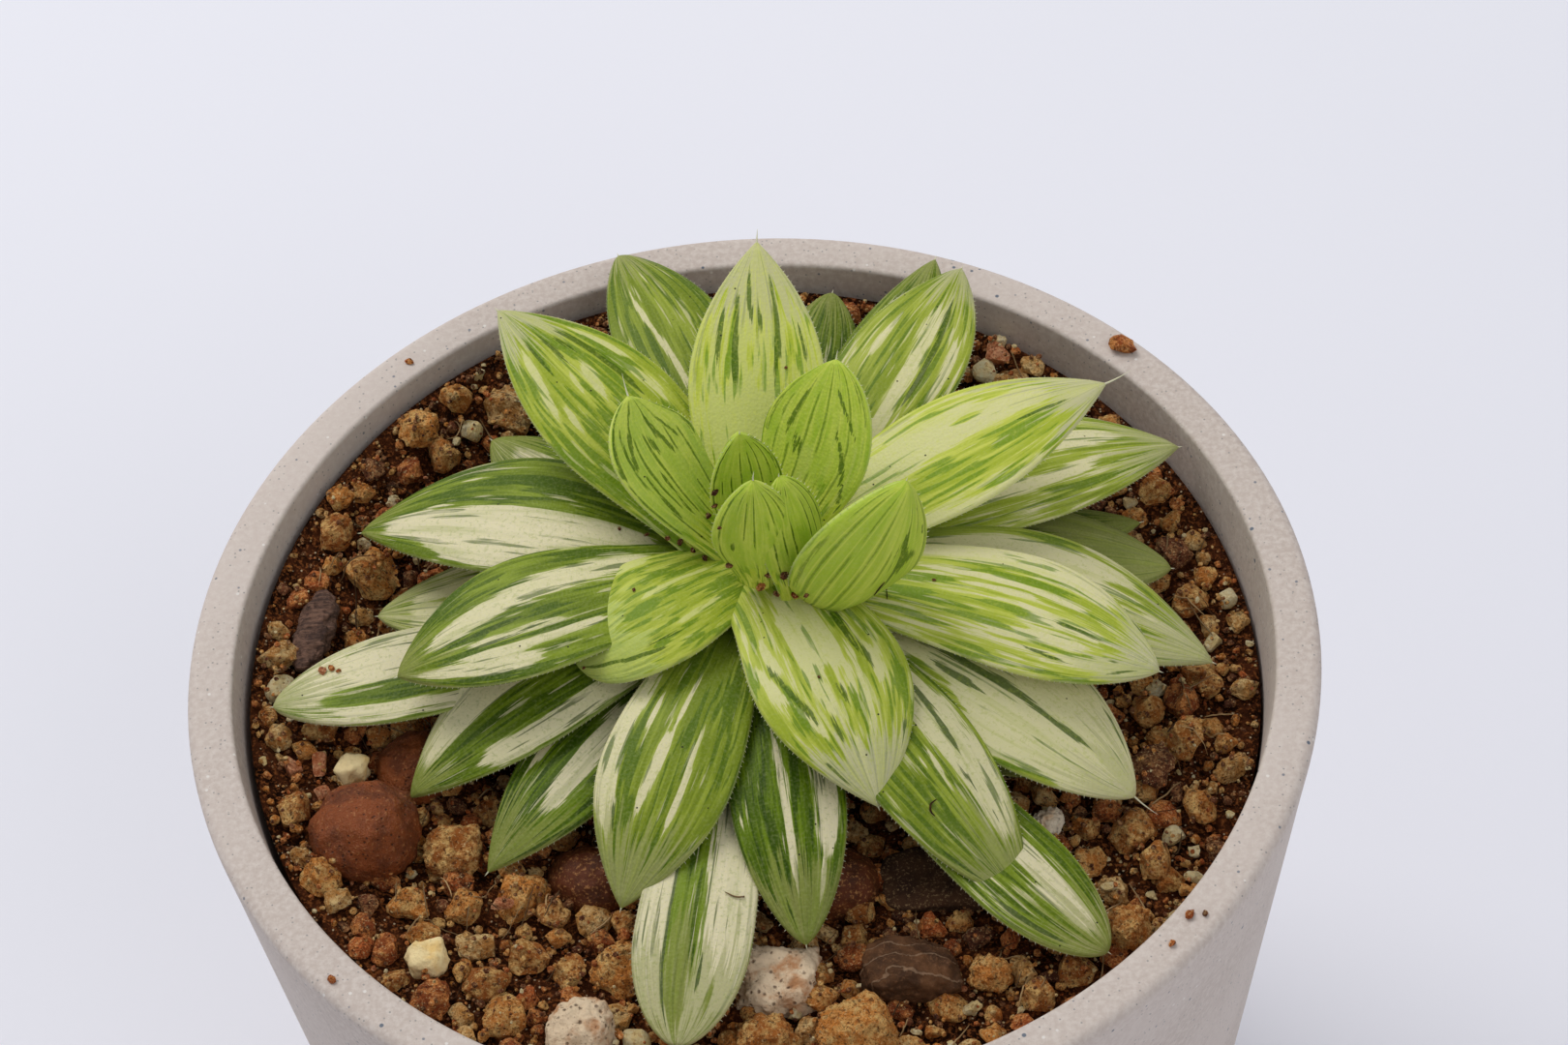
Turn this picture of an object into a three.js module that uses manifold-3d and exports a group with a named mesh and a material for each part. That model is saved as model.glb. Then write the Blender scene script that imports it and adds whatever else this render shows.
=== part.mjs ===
// A potted haworthia: a low rosette of fleshy leaves on a short rooted stem, in gritty soil with loose
// stones, in a round tapered pot. Millimetres, +Z up. The origin is the centre of the pot's flat bottom.
import * as THREE from "three";
import { mergeVertices } from "three/addons/utils/BufferGeometryUtils.js";
import Module from "manifold-3d";

const wasm = await Module();
wasm.setup();

// Pot
const POT_HEIGHT = 90;
const RIM_RADIUS = 55;
const FOOT_RADIUS = 45;
const WALL = 4.5;
const FLOOR = 6;
const DRAIN_RADIUS = 8;
const RIM_ROUND = 1.2;
const RIM_ROUND_START = 25;
const RIM_ROUND_STEPS = 3;
const INNER_ROUND = 0.5;
const FOOT_CHAMFER = 1;
const POT_SIDES = 60;

// Soil. Its middle lies flat, and from the bank's radius it rises to the wall, highest at the bank's turn
// and lower than the middle on the other side.
const SOIL_BELOW_RIM = 8;
const BANK_RADIUS = 37;
const BANK_HEIGHT = 2.5;
const BANK_SWING = 3.3;
const BANK_TURN = 118;
const SOIL_SIDES = 48;

// Grains of grit. Their sizes are half lengths, and the other numbers are shares of that size: how broad
// and high a grain is, how far its corners stray, how high it lies and how near its neighbours come.
const GRAIN_TRIES = 144;
const GRAIN_SMALLEST = 1.7;
const GRAIN_LARGEST = 3.4;
const GRAIN_NARROWEST = 0.85;
const GRAIN_HEIGHT = 0.8;
const GRAIN_ROUGH = 0.16;
const GRAIN_RISE = 0.15;
const GRAIN_CROWDING = 0.86;
const GRAIN_SMALL_BIAS = 2;
const GRAIN_SEED = 7;

// Stem, which leans a little to +X as it rises. Its profile is rows of radius and height above the soil.
const STEM_X = -0.2;
const STEM_Y = 5;
const STEM_LEAN = 0.1;
const STEM_SIDES = 12;
const STEM_PROFILE = [
  [0, -9],
  [3, -9],
  [4.2, -5.5],
  [4.2, 9],
  [2.6, 14.5],
  [0, 16],
];

// Roots, long ones by turns with short ones. "start" is below the soil, and "taper" is what the tip loses.
const ROOT_KINDS = [
  { reach: 26, drop: 34 },
  { reach: 19.5, drop: 45 },
];
const ROOT = { count: 6, firstTurn: 18, start: 5, radius: 1.8, taper: 0.6, sides: 5, steps: 4 };
const ROOT_BEND_OUT = 0.75;
const ROOT_BEND_DOWN = 0.25;

// Fleshy blades keep this thickness at their margins and tips, and touching pieces keep this gap.
const BLADE_EDGE = 0.6;
const TIP_HALF_WIDTH = 0.45;
const GAP = 0.3;

// How far a leaf bulges below and above its margins, as shares of its width. Its flesh thins towards the
// tip by a power of its outline, and the keel falls away to the margins by a power of the way across.
const KEEL_SHARE = 0.24;
const CROWN_SHARE = 0.06;
const FLESH_POWER = 0.7;
const KEEL_POWER = 1.5;
const LEAF_STATIONS = 7;

const SOIL_TOP = POT_HEIGHT - SOIL_BELOW_RIM;
const TAPER = (RIM_RADIUS - FOOT_RADIUS) / POT_HEIGHT;
const INNER_RIM_RADIUS = RIM_RADIUS - WALL;
const Z_AXIS = new THREE.Vector3(0, 0, 1);

// The leaves, from the heart of the rosette outwards. A leaf leaves the stem at height "base" above the
// soil and "root" from its axis, and runs "reach" out at the heading "turn", in degrees from +X towards +Y,
// to a tip at height "tip". "arch" lifts the middle of its spine, "sway" moves it to the left, and "lean"
// says how far out the bend is. "width" is at its widest place, "widest" along the spine, "neck" is the
// base's share of the width, and "blunt" is the exponent of its tip's outline: under 1 is a round tip.
// "roll" turns the blade about its spine, "cup" hollows its upper face, and "awn" is its bristle's length.
const LEAF_COLUMNS = [
  "name", "turn", "reach", "root", "base", "tip", "arch", "lean", "sway",
  "width", "widest", "neck", "blunt", "roll", "cup", "awn",
];
const LEAF_ROWS = [
  ["leaf_heart_front", -90, 4.6, 4.2, 17.7, 32.4, -1, 0.5, 0, 8.7, 0.5, 0.55, 0.75, 0, 0.5, 1.4],
  ["leaf_heart_back", 107, 3, 1.5, 17, 30.5, 0, 0.5, 0, 7.4, 0.45, 0.7, 0.75, 0, 0.5, 0],
  ["leaf_heart_side", -52, 4.1, 6.5, 16.5, 31, 0, 0.5, 0, 7.3, 0.5, 0.75, 0.75, 0, 0.5, 0],
  ["leaf_heart_right_back", 48.6, 13.5, 3, 16, 31.7, 1.6, 0.5, -1.3, 11.8, 0.48, 0.6, 0.8, 2, 0.6, 1.2],
  ["leaf_heart_left_back", 137, 15.2, 3, 16, 28.7, 1.1, 0.5, 1.7, 10.6, 0.62, 0.6, 0.9, 7, 0.6, 2.5],
  ["leaf_heart_right", -20.6, 15.6, 5.1, 13.4, 31.6, -1.6, 0.5, -3.9, 13, 0.64, 0.25, 0.75, -58.6, 0.4, 0],
  ["leaf_middle_back", 85, 29, 2, 14, 29, 1, 0.5, 0, 13.4, 0.5, 0.6, 1, 0, 0.3, 1.5],
  ["leaf_middle_left_back", 131, 36, 2, 14, 24, 2, 0.5, 0, 14.5, 0.5, 0.6, 1, 0, 0.2, 0],
  ["leaf_middle_right_back", 20, 37.5, 2, 14, 22, 1.8, 0.5, -0.1, 12.6, 0.52, 0.6, 1, 8, 0.2, 3],
  ["leaf_middle_left", -155.2, 19.7, 2, 14.5, 12, 2.8, 0.7, 1.2, 13.3, 0.45, 0.7, 0.63, 0, -0.5, 0],
  ["leaf_middle_front", -71, 29, 2, 14.5, 11, 3.5, 0.6, 0.5, 15, 0.5, 0.7, 0.95, 0, -0.3, 0],
  ["leaf_middle_right", -21, 40, 2, 13.5, 11, 3.3, 0.6, 0.3, 14, 0.6, 0.55, 0.85, 0, 0, 0],
  ["leaf_middle_far_left", -168, 36, 2, 13.5, 11, 3.3, 0.6, 0, 14.5, 0.55, 0.6, 0.9, 0, 0, 0],
  ["leaf_outer_front_left", -114.8, 35.6, 2, 11.5, 5, 3.9, 0.55, 0.2, 13.3, 0.61, 0.55, 0.93, 0, 0, 0],
  ["leaf_outer_front_right", -57, 40.4, 2, 11, 5, 5.3, 0.55, -0.7, 12.4, 0.59, 0.6, 0.61, 0, 0, 0],
  ["leaf_outer_right_low", -35.5, 42, 2, 10.5, 5, 4.5, 0.55, 0.6, 14.5, 0.62, 0.5, 0.78, 0, 0, 3],
  ["leaf_outer_right", -12, 44.5, 2, 10.5, 5, 5, 0.5, 1.5, 14.5, 0.6, 0.5, 0.95, 0, 0, 0],
  ["leaf_outer_left", 160, 41.5, 2, 11, 7, 5, 0.5, -1, 15, 0.55, 0.55, 0.95, 0, 0, 0],
  ["leaf_outer_back_right", 57, 43, 2, 10.5, 15, 3, 0.5, -1.5, 12.5, 0.6, 0.55, 0.95, 0, 0, 0],
  ["leaf_outer_far_right", 21, 46.5, 2, 10, 7, 4, 0.5, 1, 14.5, 0.58, 0.5, 0.95, 0, 0, 0],
  ["leaf_outer_back_left", 104.4, 46, 2, 9.5, 12, 3, 0.5, -1.8, 12.2, 0.62, 0.55, 0.8, 0, 0, 0],
  ["leaf_lower_left", -155, 38, 2, 8, 3, 4.5, 0.5, -1, 13, 0.58, 0.5, 0.9, 0, 0, 0],
  ["leaf_lower_front", -86.4, 37.6, 2, 8, 4.2, 4.3, 0.5, 0.2, 11, 0.62, 0.5, 0.72, 0, 0, 0],
  ["leaf_lower_right", 5, 41.5, 2, 7.5, 4, 3.5, 0.5, 1, 12.5, 0.62, 0.5, 0.75, 0, 0, 0],
  ["leaf_lower_front_left", -137, 37, 2, 6.5, 2.5, 3.2, 0.5, 0, 11.3, 0.58, 0.5, 0.95, 0, 0, 0],
  ["leaf_lower_front_right", -53, 50.4, 2, 6, 3, 3.3, 0.5, -1.9, 10.3, 0.77, 0.45, 0.62, 0, 0, 0],
  ["leaf_lower_far_left", 170, 38, 2, 7, 3, 2.5, 0.5, 0, 12, 0.6, 0.5, 0.8, 0, 0, 0],
  ["leaf_lowest_front", -102, 47.7, 2, 5, 2.8, 3.3, 0.5, 0.1, 11.2, 0.78, 0.45, 0.6, 0, 0, 0],
  ["leaf_lowest_left", -172.7, 47.4, 2, 4.5, 6, 2, 0.5, 0, 11, 0.7, 0.45, 0.7, 0, 0, 0],
  ["leaf_lowest_back_right", 62.5, 46.6, 2, 6, 11, 1, 0.5, -1, 11, 0.6, 0.45, 0.9, 0, 0, 0],
  ["leaf_lowest_back", 75, 42, 2, 4, 8, 0.5, 0.5, 0, 11, 0.62, 0.45, 0.7, 0, 0, 0],
  ["leaf_lowest_back_left", 133.3, 36.8, 2, 5, 5, 1, 0.5, 0, 12, 0.6, 0.45, 0.8, 0, 0, 0],
  ["leaf_lowest_right_back", 14, 40.5, 2, 5, 4, 2, 0.5, 0, 10, 0.55, 0.45, 0.9, 0, 0, 0],
  ["leaf_lowest_right", -37, 32, 2, 4, 2.5, 1.5, 0.5, 0, 9, 0.55, 0.45, 0.9, 0, 0, 0],
];

// Loose stones and chips on the soil: where the middle is, its height above the soil, the size along,
// across and up, the heading of the long side, how far the faces stray from an egg's, and the colour.
const STONE_COLUMNS = ["name", "x", "y", "middle", "long", "wide", "high", "turn", "rough", "color"];
const STONE_ROWS = [
  ["clay_ball_large", -38.2, -14.5, 2.8, 11.2, 10.6, 9.6, 20, 0.03, 0x9a5a30],
  ["clay_ball_small", -33.3, -5.8, 0.6, 8, 8.2, 6.6, 0, 0.04, 0x94552e],
  ["pebble_dark_left", -16.7, -20.6, 0.2, 7.4, 9, 6.4, 70, 0.06, 0x6d3a2b],
  ["pebble_dark_front", 5.6, -23.6, 1, 7.6, 10, 7.4, 80, 0.05, 0x6a3a28],
  ["slate_chip", 16, -24.2, 0.4, 10.6, 7.6, 4, -12, 0.16, 0x4a4744],
  ["veined_stone", 12.4, -34.4, 0.9, 10.4, 7, 5, -15, 0.13, 0x6b574a],
  ["pumice_front", 0.4, -34, 0.3, 8.6, 7.6, 5.4, 10, 0.14, 0xd8cabb],
  ["pink_stone", -18.6, -38.1, 1.2, 7, 6.4, 5.4, 30, 0.12, 0xc9a58e],
  ["brown_stone_front", 7.2, -40.4, 1.2, 8.2, 7, 6.4, 5, 0.12, 0x9c6f3f],
  ["brown_stone_middle", -1.4, -40.4, 0.8, 6.2, 5, 4.8, -10, 0.13, 0x96683a],
  ["brown_stone_right", 19.8, -35.3, 1, 4.8, 5, 4.4, 0, 0.14, 0x966a3c],
  ["brown_stone_left", -30.2, -16.8, 1.1, 6.2, 6, 5.2, 40, 0.14, 0xa07544],
  ["brown_stone_edge", 33, -31.6, 1.3, 5, 5, 5, 20, 0.14, 0x9a6c3c],
  ["bark_chip", -43.2, 9.4, 3.9, 11, 4.2, 3, 75, 0.1, 0x5b4237],
  ["pumice_left", -39.6, -6.5, 1.9, 4.2, 3.8, 4, 15, 0.14, 0xe3d6bd],
  ["pumice_near_left", -32.5, -29, 1.9, 4.2, 4.2, 4, 50, 0.12, 0xe0d2b4],
  ["perlite_right", 26.7, -19, 0.9, 4.4, 3.6, 3.6, 25, 0.14, 0xe9e5dd],
];

// Stones longer than this are rounder, with more faces.
const SMALL_STONE = 6;

function tableOf(columns, rows) {
  return rows.map((row) => Object.fromEntries(columns.map((column, index) => [column, row[index]])));
}

// Repeatable random numbers from 0 to 1.
function randomFrom(seed) {
  let state = seed;
  return () => {
    state = (state * 1664525 + 1013904223) % 4294967296;
    return state / 4294967296;
  };
}

// Closed meshes as solids, and back

function mergedPositions(geometry) {
  const bare = geometry.clone();
  bare.deleteAttribute("normal");
  bare.deleteAttribute("uv");
  return mergeVertices(bare, 1e-4);
}

function solidOf(geometry) {
  const merged = mergedPositions(geometry);
  return new wasm.Manifold(
    new wasm.Mesh({
      numProp: 3,
      vertProperties: merged.attributes.position.array,
      triVerts: new Uint32Array(merged.index.array),
    }),
  );
}

function geometryOf(solid) {
  const mesh = solid.getMesh();
  const geometry = new THREE.BufferGeometry();
  geometry.setAttribute("position", new THREE.BufferAttribute(mesh.vertProperties, 3));
  geometry.setIndex(new THREE.BufferAttribute(mesh.triVerts, 1));
  geometry.computeVertexNormals();
  return geometry;
}

function largestBody(solid) {
  return solid.decompose().reduce((best, body) => (body.volume() > best.volume() ? body : best));
}

// A closed skin through rings of points. Each ring runs anticlockwise seen from the end it leads to, and
// "hub" is the ring's point that both end faces fan out from.
function skinGeometry(rings, hub) {
  const sides = rings[0].length;
  const last = rings.length - 1;
  const at = (ring, side) => ring * sides + (side % sides);
  const faces = [];
  for (let ring = 0; ring < last; ring++) {
    for (let side = 0; side < sides; side++) {
      faces.push(at(ring, side), at(ring, side + 1), at(ring + 1, side + 1));
      faces.push(at(ring, side), at(ring + 1, side + 1), at(ring + 1, side));
    }
  }
  for (let step = 1; step < sides - 1; step++) {
    faces.push(at(0, hub), at(0, hub + step + 1), at(0, hub + step));
    faces.push(at(last, hub), at(last, hub + step), at(last, hub + step + 1));
  }
  const geometry = new THREE.BufferGeometry().setFromPoints(rings.flat());
  geometry.setIndex(faces);
  return geometry;
}

// Pot: one turned shell with a round drain hole in its floor

function arcPoints(centreX, centreY, radius, from, to, steps) {
  return Array.from({ length: steps + 1 }, (_, index) => {
    const angle = THREE.MathUtils.degToRad(from + ((to - from) * index) / steps);
    return new THREE.Vector2(centreX + radius * Math.cos(angle), centreY + radius * Math.sin(angle));
  });
}

function potGeometry() {
  const innerRadius = (height) => INNER_RIM_RADIUS - TAPER * (POT_HEIGHT - height);
  const rimArcHeight = POT_HEIGHT - RIM_ROUND;
  const outline = [
    new THREE.Vector2(DRAIN_RADIUS, 0),
    new THREE.Vector2(FOOT_RADIUS - FOOT_CHAMFER, 0),
    new THREE.Vector2(FOOT_RADIUS + TAPER * FOOT_CHAMFER, FOOT_CHAMFER),
    new THREE.Vector2(RIM_RADIUS - TAPER * RIM_ROUND, rimArcHeight),
    ...arcPoints(RIM_RADIUS - RIM_ROUND, rimArcHeight, RIM_ROUND, RIM_ROUND_START, 90, RIM_ROUND_STEPS),
    new THREE.Vector2(INNER_RIM_RADIUS + INNER_ROUND, POT_HEIGHT),
    new THREE.Vector2(INNER_RIM_RADIUS, POT_HEIGHT - INNER_ROUND),
    new THREE.Vector2(innerRadius(FLOOR), FLOOR),
    new THREE.Vector2(DRAIN_RADIUS, FLOOR),
    new THREE.Vector2(DRAIN_RADIUS, 0),
  ];
  return new THREE.LatheGeometry(outline, POT_SIDES).rotateX(Math.PI / 2);
}

// Leaves

function stemAxis(height) {
  return new THREE.Vector3(STEM_X + STEM_LEAN * height, STEM_Y, SOIL_TOP + height);
}

function leafSpine(leaf) {
  const turn = THREE.MathUtils.degToRad(leaf.turn);
  const out = new THREE.Vector3(Math.cos(turn), Math.sin(turn), 0);
  const left = new THREE.Vector3(-Math.sin(turn), Math.cos(turn), 0);
  const start = stemAxis(leaf.base).addScaledVector(out, leaf.root);
  const end = stemAxis(leaf.base).addScaledVector(out, leaf.reach).setZ(SOIL_TOP + leaf.tip);
  const bend = start.clone().lerp(end, leaf.lean);
  bend.addScaledVector(left, 2 * leaf.sway).addScaledVector(Z_AXIS, 2 * leaf.arch);
  return { curve: new THREE.QuadraticBezierCurve3(start, bend, end), left };
}

// The leaf's breadth along its spine as a share of its full width.
function leafOutline(leaf, along) {
  if (along < leaf.widest) {
    return leaf.neck + (1 - leaf.neck) * THREE.MathUtils.smoothstep(along, 0, leaf.widest);
  }
  const share = (along - leaf.widest) / (1 - leaf.widest);
  return Math.max(0, 1 - share * share) ** leaf.blunt;
}

// The ring's points run over the upper face from the left margin to the right one, and back underneath.
const ACROSS = [1, 0.5, 0, -0.5, -1];
const KEEL_POINT = 7;

// "beyond" moves a ring past the tip, along the awn.
function leafRing(leaf, spine, along, grow, beyond = 0) {
  const middle = spine.curve.getPoint(along);
  const forward = spine.curve.getTangent(along);
  const across = spine.left.clone().addScaledVector(forward, -spine.left.dot(forward)).normalize();
  across.applyAxisAngle(forward, THREE.MathUtils.degToRad(leaf.roll));
  const up = forward.clone().cross(across);
  const outline = leafOutline(leaf, along);
  const narrowest = beyond > 0 ? BLADE_EDGE / 2 : TIP_HALF_WIDTH;
  const half = Math.max(narrowest, (leaf.width / 2) * outline) + grow;
  const edge = BLADE_EDGE / 2 + grow;
  const flesh = leaf.width * outline ** FLESH_POWER;
  const crown = CROWN_SHARE * flesh - leaf.cup * outline;
  const keel = KEEL_SHARE * flesh;
  middle.addScaledVector(forward, beyond);
  const point = (side, height) =>
    middle.clone().addScaledVector(across, side * half).addScaledVector(up, height);
  return [
    ...ACROSS.map((side) => point(side, edge + crown * (1 - side * side))),
    ...ACROSS.map((side) => point(-side, -edge - keel * (1 - Math.abs(side) ** KEEL_POWER))),
  ];
}

// Stations crowd towards the tip, where the outline turns fastest.
function leafSolid(leaf, grow) {
  const spine = leafSpine(leaf);
  const rings = Array.from({ length: LEAF_STATIONS + 1 }, (_, index) =>
    leafRing(leaf, spine, Math.sin(((Math.PI / 2) * index) / LEAF_STATIONS), grow),
  );
  if (leaf.awn > 0) rings.push(leafRing(leaf, spine, 1, grow, leaf.awn + grow));
  return solidOf(skinGeometry(rings, KEEL_POINT));
}

// Stem with its crown of roots

function stemSolid(grow) {
  const last = STEM_PROFILE.length - 1;
  const outline = STEM_PROFILE.map(([radius, height], index) => {
    const onAxis = index === 0 || index === last;
    return new THREE.Vector2(onAxis ? 0 : radius + grow, height + Math.sign(height) * grow);
  });
  const geometry = new THREE.LatheGeometry(outline, STEM_SIDES).rotateX(Math.PI / 2);
  geometry.applyMatrix4(new THREE.Matrix4().makeShear(0, 0, 0, 0, STEM_LEAN, 0));
  return solidOf(geometry.translate(STEM_X, STEM_Y, SOIL_TOP));
}

function rootSolid(index, grow) {
  const { reach, drop } = ROOT_KINDS[index % ROOT_KINDS.length];
  const turn = THREE.MathUtils.degToRad(ROOT.firstTurn + (360 * index) / ROOT.count);
  const out = new THREE.Vector3(Math.cos(turn), Math.sin(turn), 0);
  const sideways = new THREE.Vector3(-out.y, out.x, 0);
  const start = stemAxis(-ROOT.start);
  const bend = start.clone().addScaledVector(out, reach * ROOT_BEND_OUT);
  bend.addScaledVector(Z_AXIS, -drop * ROOT_BEND_DOWN);
  const end = start.clone().addScaledVector(out, reach).addScaledVector(Z_AXIS, -drop);
  const curve = new THREE.QuadraticBezierCurve3(start, bend, end);
  const rings = Array.from({ length: ROOT.steps + 1 }, (_, step) => {
    const along = step / ROOT.steps;
    const forward = curve.getTangent(along);
    const upward = forward.clone().cross(sideways);
    const centre = curve.getPoint(along).addScaledVector(forward, step === ROOT.steps ? grow : 0);
    const radius = ROOT.radius * (1 - ROOT.taper * along) + grow;
    return Array.from({ length: ROOT.sides }, (_, side) => {
      const angle = (2 * Math.PI * side) / ROOT.sides;
      const point = centre.clone().addScaledVector(sideways, radius * Math.cos(angle));
      return point.addScaledVector(upward, radius * Math.sin(angle));
    });
  });
  return solidOf(skinGeometry(rings, 0));
}

function rootedStemSolid(grow) {
  let solid = stemSolid(grow);
  for (let index = 0; index < ROOT.count; index++) {
    solid = solid.add(rootSolid(index, grow));
  }
  return solid;
}

// Stones and soil

// An egg whose corners stray in and out by the share "rough".
function lumpGeometry(size, rough, detail, random) {
  const geometry = mergedPositions(new THREE.IcosahedronGeometry(0.5, detail));
  const position = geometry.attributes.position;
  for (let index = 0; index < position.count; index++) {
    const stray = 1 + rough * (2 * random() - 1);
    position.setXYZ(
      index,
      position.getX(index) * size.x * stray,
      position.getY(index) * size.y * stray,
      position.getZ(index) * size.z * stray,
    );
  }
  return geometry;
}

function stoneSolid(stone, index, grow) {
  const size = new THREE.Vector3(stone.long, stone.wide, stone.high).addScalar(2 * grow);
  const detail = stone.long > SMALL_STONE ? 1 : 0;
  const geometry = lumpGeometry(size, stone.rough, detail, randomFrom(index + 1));
  geometry.rotateZ(THREE.MathUtils.degToRad(stone.turn));
  return solidOf(geometry.translate(stone.x, stone.y, SOIL_TOP + stone.middle));
}

function soilRadius(height) {
  return INNER_RIM_RADIUS - TAPER * (POT_HEIGHT - height) - GAP;
}

const SOIL_EDGE_RADIUS = soilRadius(SOIL_TOP);

function bankHeight(x, y) {
  const share = Math.max(0, (Math.hypot(x, y) - BANK_RADIUS) / (SOIL_EDGE_RADIUS - BANK_RADIUS));
  const swing = Math.cos(Math.atan2(y, x) - THREE.MathUtils.degToRad(BANK_TURN));
  return share * (BANK_HEIGHT + BANK_SWING * swing);
}

function soilBed() {
  const bottom = FLOOR + GAP;
  const outline = [
    new THREE.Vector2(0, bottom),
    new THREE.Vector2(soilRadius(bottom), bottom),
    new THREE.Vector2(SOIL_EDGE_RADIUS, SOIL_TOP),
    new THREE.Vector2(BANK_RADIUS, SOIL_TOP),
    new THREE.Vector2(0, SOIL_TOP),
  ];
  const geometry = new THREE.LatheGeometry(outline, SOIL_SIDES).rotateX(Math.PI / 2);
  const position = geometry.attributes.position;
  for (let index = 0; index < position.count; index++) {
    if (position.getZ(index) < SOIL_TOP) continue;
    position.setZ(index, SOIL_TOP + bankHeight(position.getX(index), position.getY(index)));
  }
  return solidOf(geometry);
}

// Grains of grit half sunk in the bed, left out where they would touch what stands on the soil.
function soilSolid(kept) {
  const random = randomFrom(GRAIN_SEED);
  const grains = [];
  for (let tried = 0; tried < GRAIN_TRIES; tried++) {
    const radius = THREE.MathUtils.lerp(GRAIN_SMALLEST, GRAIN_LARGEST, random() ** GRAIN_SMALL_BIAS);
    const reach = SOIL_EDGE_RADIUS - radius * (1 + GRAIN_ROUGH);
    const distance = reach * Math.sqrt(random());
    const angle = 2 * Math.PI * random();
    const centre = new THREE.Vector2(distance * Math.cos(angle), distance * Math.sin(angle));
    const breadth = THREE.MathUtils.lerp(GRAIN_NARROWEST, 1, random());
    const size = new THREE.Vector3(1, breadth, GRAIN_HEIGHT).multiplyScalar(2 * radius);
    const geometry = lumpGeometry(size, GRAIN_ROUGH, 0, random).rotateZ(2 * Math.PI * random());
    const crowded = grains.some(
      (grain) => grain.centre.distanceTo(centre) < GRAIN_CROWDING * (grain.radius + radius),
    );
    if (crowded) continue;
    const height = SOIL_TOP + bankHeight(centre.x, centre.y) + GRAIN_RISE * radius;
    const solid = solidOf(geometry.translate(centre.x, centre.y, height));
    if (solid.intersect(kept).volume() > 0) continue;
    grains.push({ centre, radius, solid });
  }
  return grains.reduce((soil, grain) => soil.add(grain.solid), soilBed());
}

// Materials

function matte(color, roughness) {
  return new THREE.MeshStandardMaterial({ color, roughness, metalness: 0 });
}

const LEAF_COLORS = [0xa9bf5f, 0x9db655, 0x86a54b, 0x6f9440];

function leafMaterial(index, count) {
  const step = Math.floor((index / count) * LEAF_COLORS.length);
  return matte(LEAF_COLORS[step], 0.45);
}

// Assembly

const haworthia = new THREE.Group();

function place(name, geometry, material) {
  const mesh = new THREE.Mesh(geometry, material);
  mesh.name = name;
  haworthia.add(mesh);
}

const leaves = tableOf(LEAF_COLUMNS, LEAF_ROWS);
const stones = tableOf(STONE_COLUMNS, STONE_ROWS);
const roomForStem = rootedStemSolid(GAP);

place("pot", potGeometry(), matte(0xb7b2ac, 0.7));
place("stem_and_roots", geometryOf(rootedStemSolid(0)), matte(0xa08c6a, 0.8));

// Each leaf gives way to the stem and to the leaves above it.
let taken = roomForStem;
leaves.forEach((leaf, index) => {
  const solid = largestBody(leafSolid(leaf, 0).subtract(taken));
  place(leaf.name, geometryOf(solid), leafMaterial(index, leaves.length));
  taken = taken.add(leafSolid(leaf, GAP));
});

const roomForStones = stones.reduce(
  (room, stone, index) => room.add(stoneSolid(stone, index, GAP)),
  roomForStem,
);
const soil = soilSolid(taken.add(roomForStones)).subtract(roomForStones);
place("soil", geometryOf(soil), matte(0x6b3f28, 0.95));
stones.forEach((stone, index) => {
  place(stone.name, geometryOf(stoneSolid(stone, index, 0)), matte(stone.color, 0.9));
});

export default haworthia;
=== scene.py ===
import math

import bmesh
import bpy
import numpy as np
from mathutils import Matrix, Vector, noise
from mathutils.bvhtree import BVHTree


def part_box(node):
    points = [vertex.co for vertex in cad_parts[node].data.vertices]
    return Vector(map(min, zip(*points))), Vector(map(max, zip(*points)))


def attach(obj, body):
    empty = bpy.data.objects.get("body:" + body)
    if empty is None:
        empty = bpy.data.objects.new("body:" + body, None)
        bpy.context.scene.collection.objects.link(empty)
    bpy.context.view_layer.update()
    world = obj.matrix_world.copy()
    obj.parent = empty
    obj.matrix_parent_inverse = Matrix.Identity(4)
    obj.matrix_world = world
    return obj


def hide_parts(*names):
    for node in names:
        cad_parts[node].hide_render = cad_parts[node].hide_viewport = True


MM = 0.001
BODY = "root"

# Pot. Its straight walls start above the foot, and end below the rim outside and inside.
POT_HEIGHT = 90
RIM_RADIUS = 55
FOOT_RADIUS = 45
WALL = 4.5
FLOOR = 6
DRAIN_RADIUS = 8
RIM_ROUND = 1.2
INNER_ROUND = 0.5
FOOT_ROUND = 1
WALL_START = 4
WALL_END = 3
INNER_WALL_END = 2
TAPER = (RIM_RADIUS - FOOT_RADIUS) / POT_HEIGHT
INNER_RIM_RADIUS = RIM_RADIUS - WALL
POT_SIDES = 180

# Soil
SOIL_TOP = 82
BANK_RADIUS = 37
BANK_HEIGHT = 2.5
BANK_SWING = 3.3
BANK_TURN = math.radians(118)
GAP = 0.3
SOIL_EDGE_RADIUS = INNER_RIM_RADIUS - TAPER * (POT_HEIGHT - SOIL_TOP) - GAP
BED_RINGS = 76
BED_SIDES = 180
BED_RELIEF = 0.5
BED_SCALE = 0.45

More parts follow.
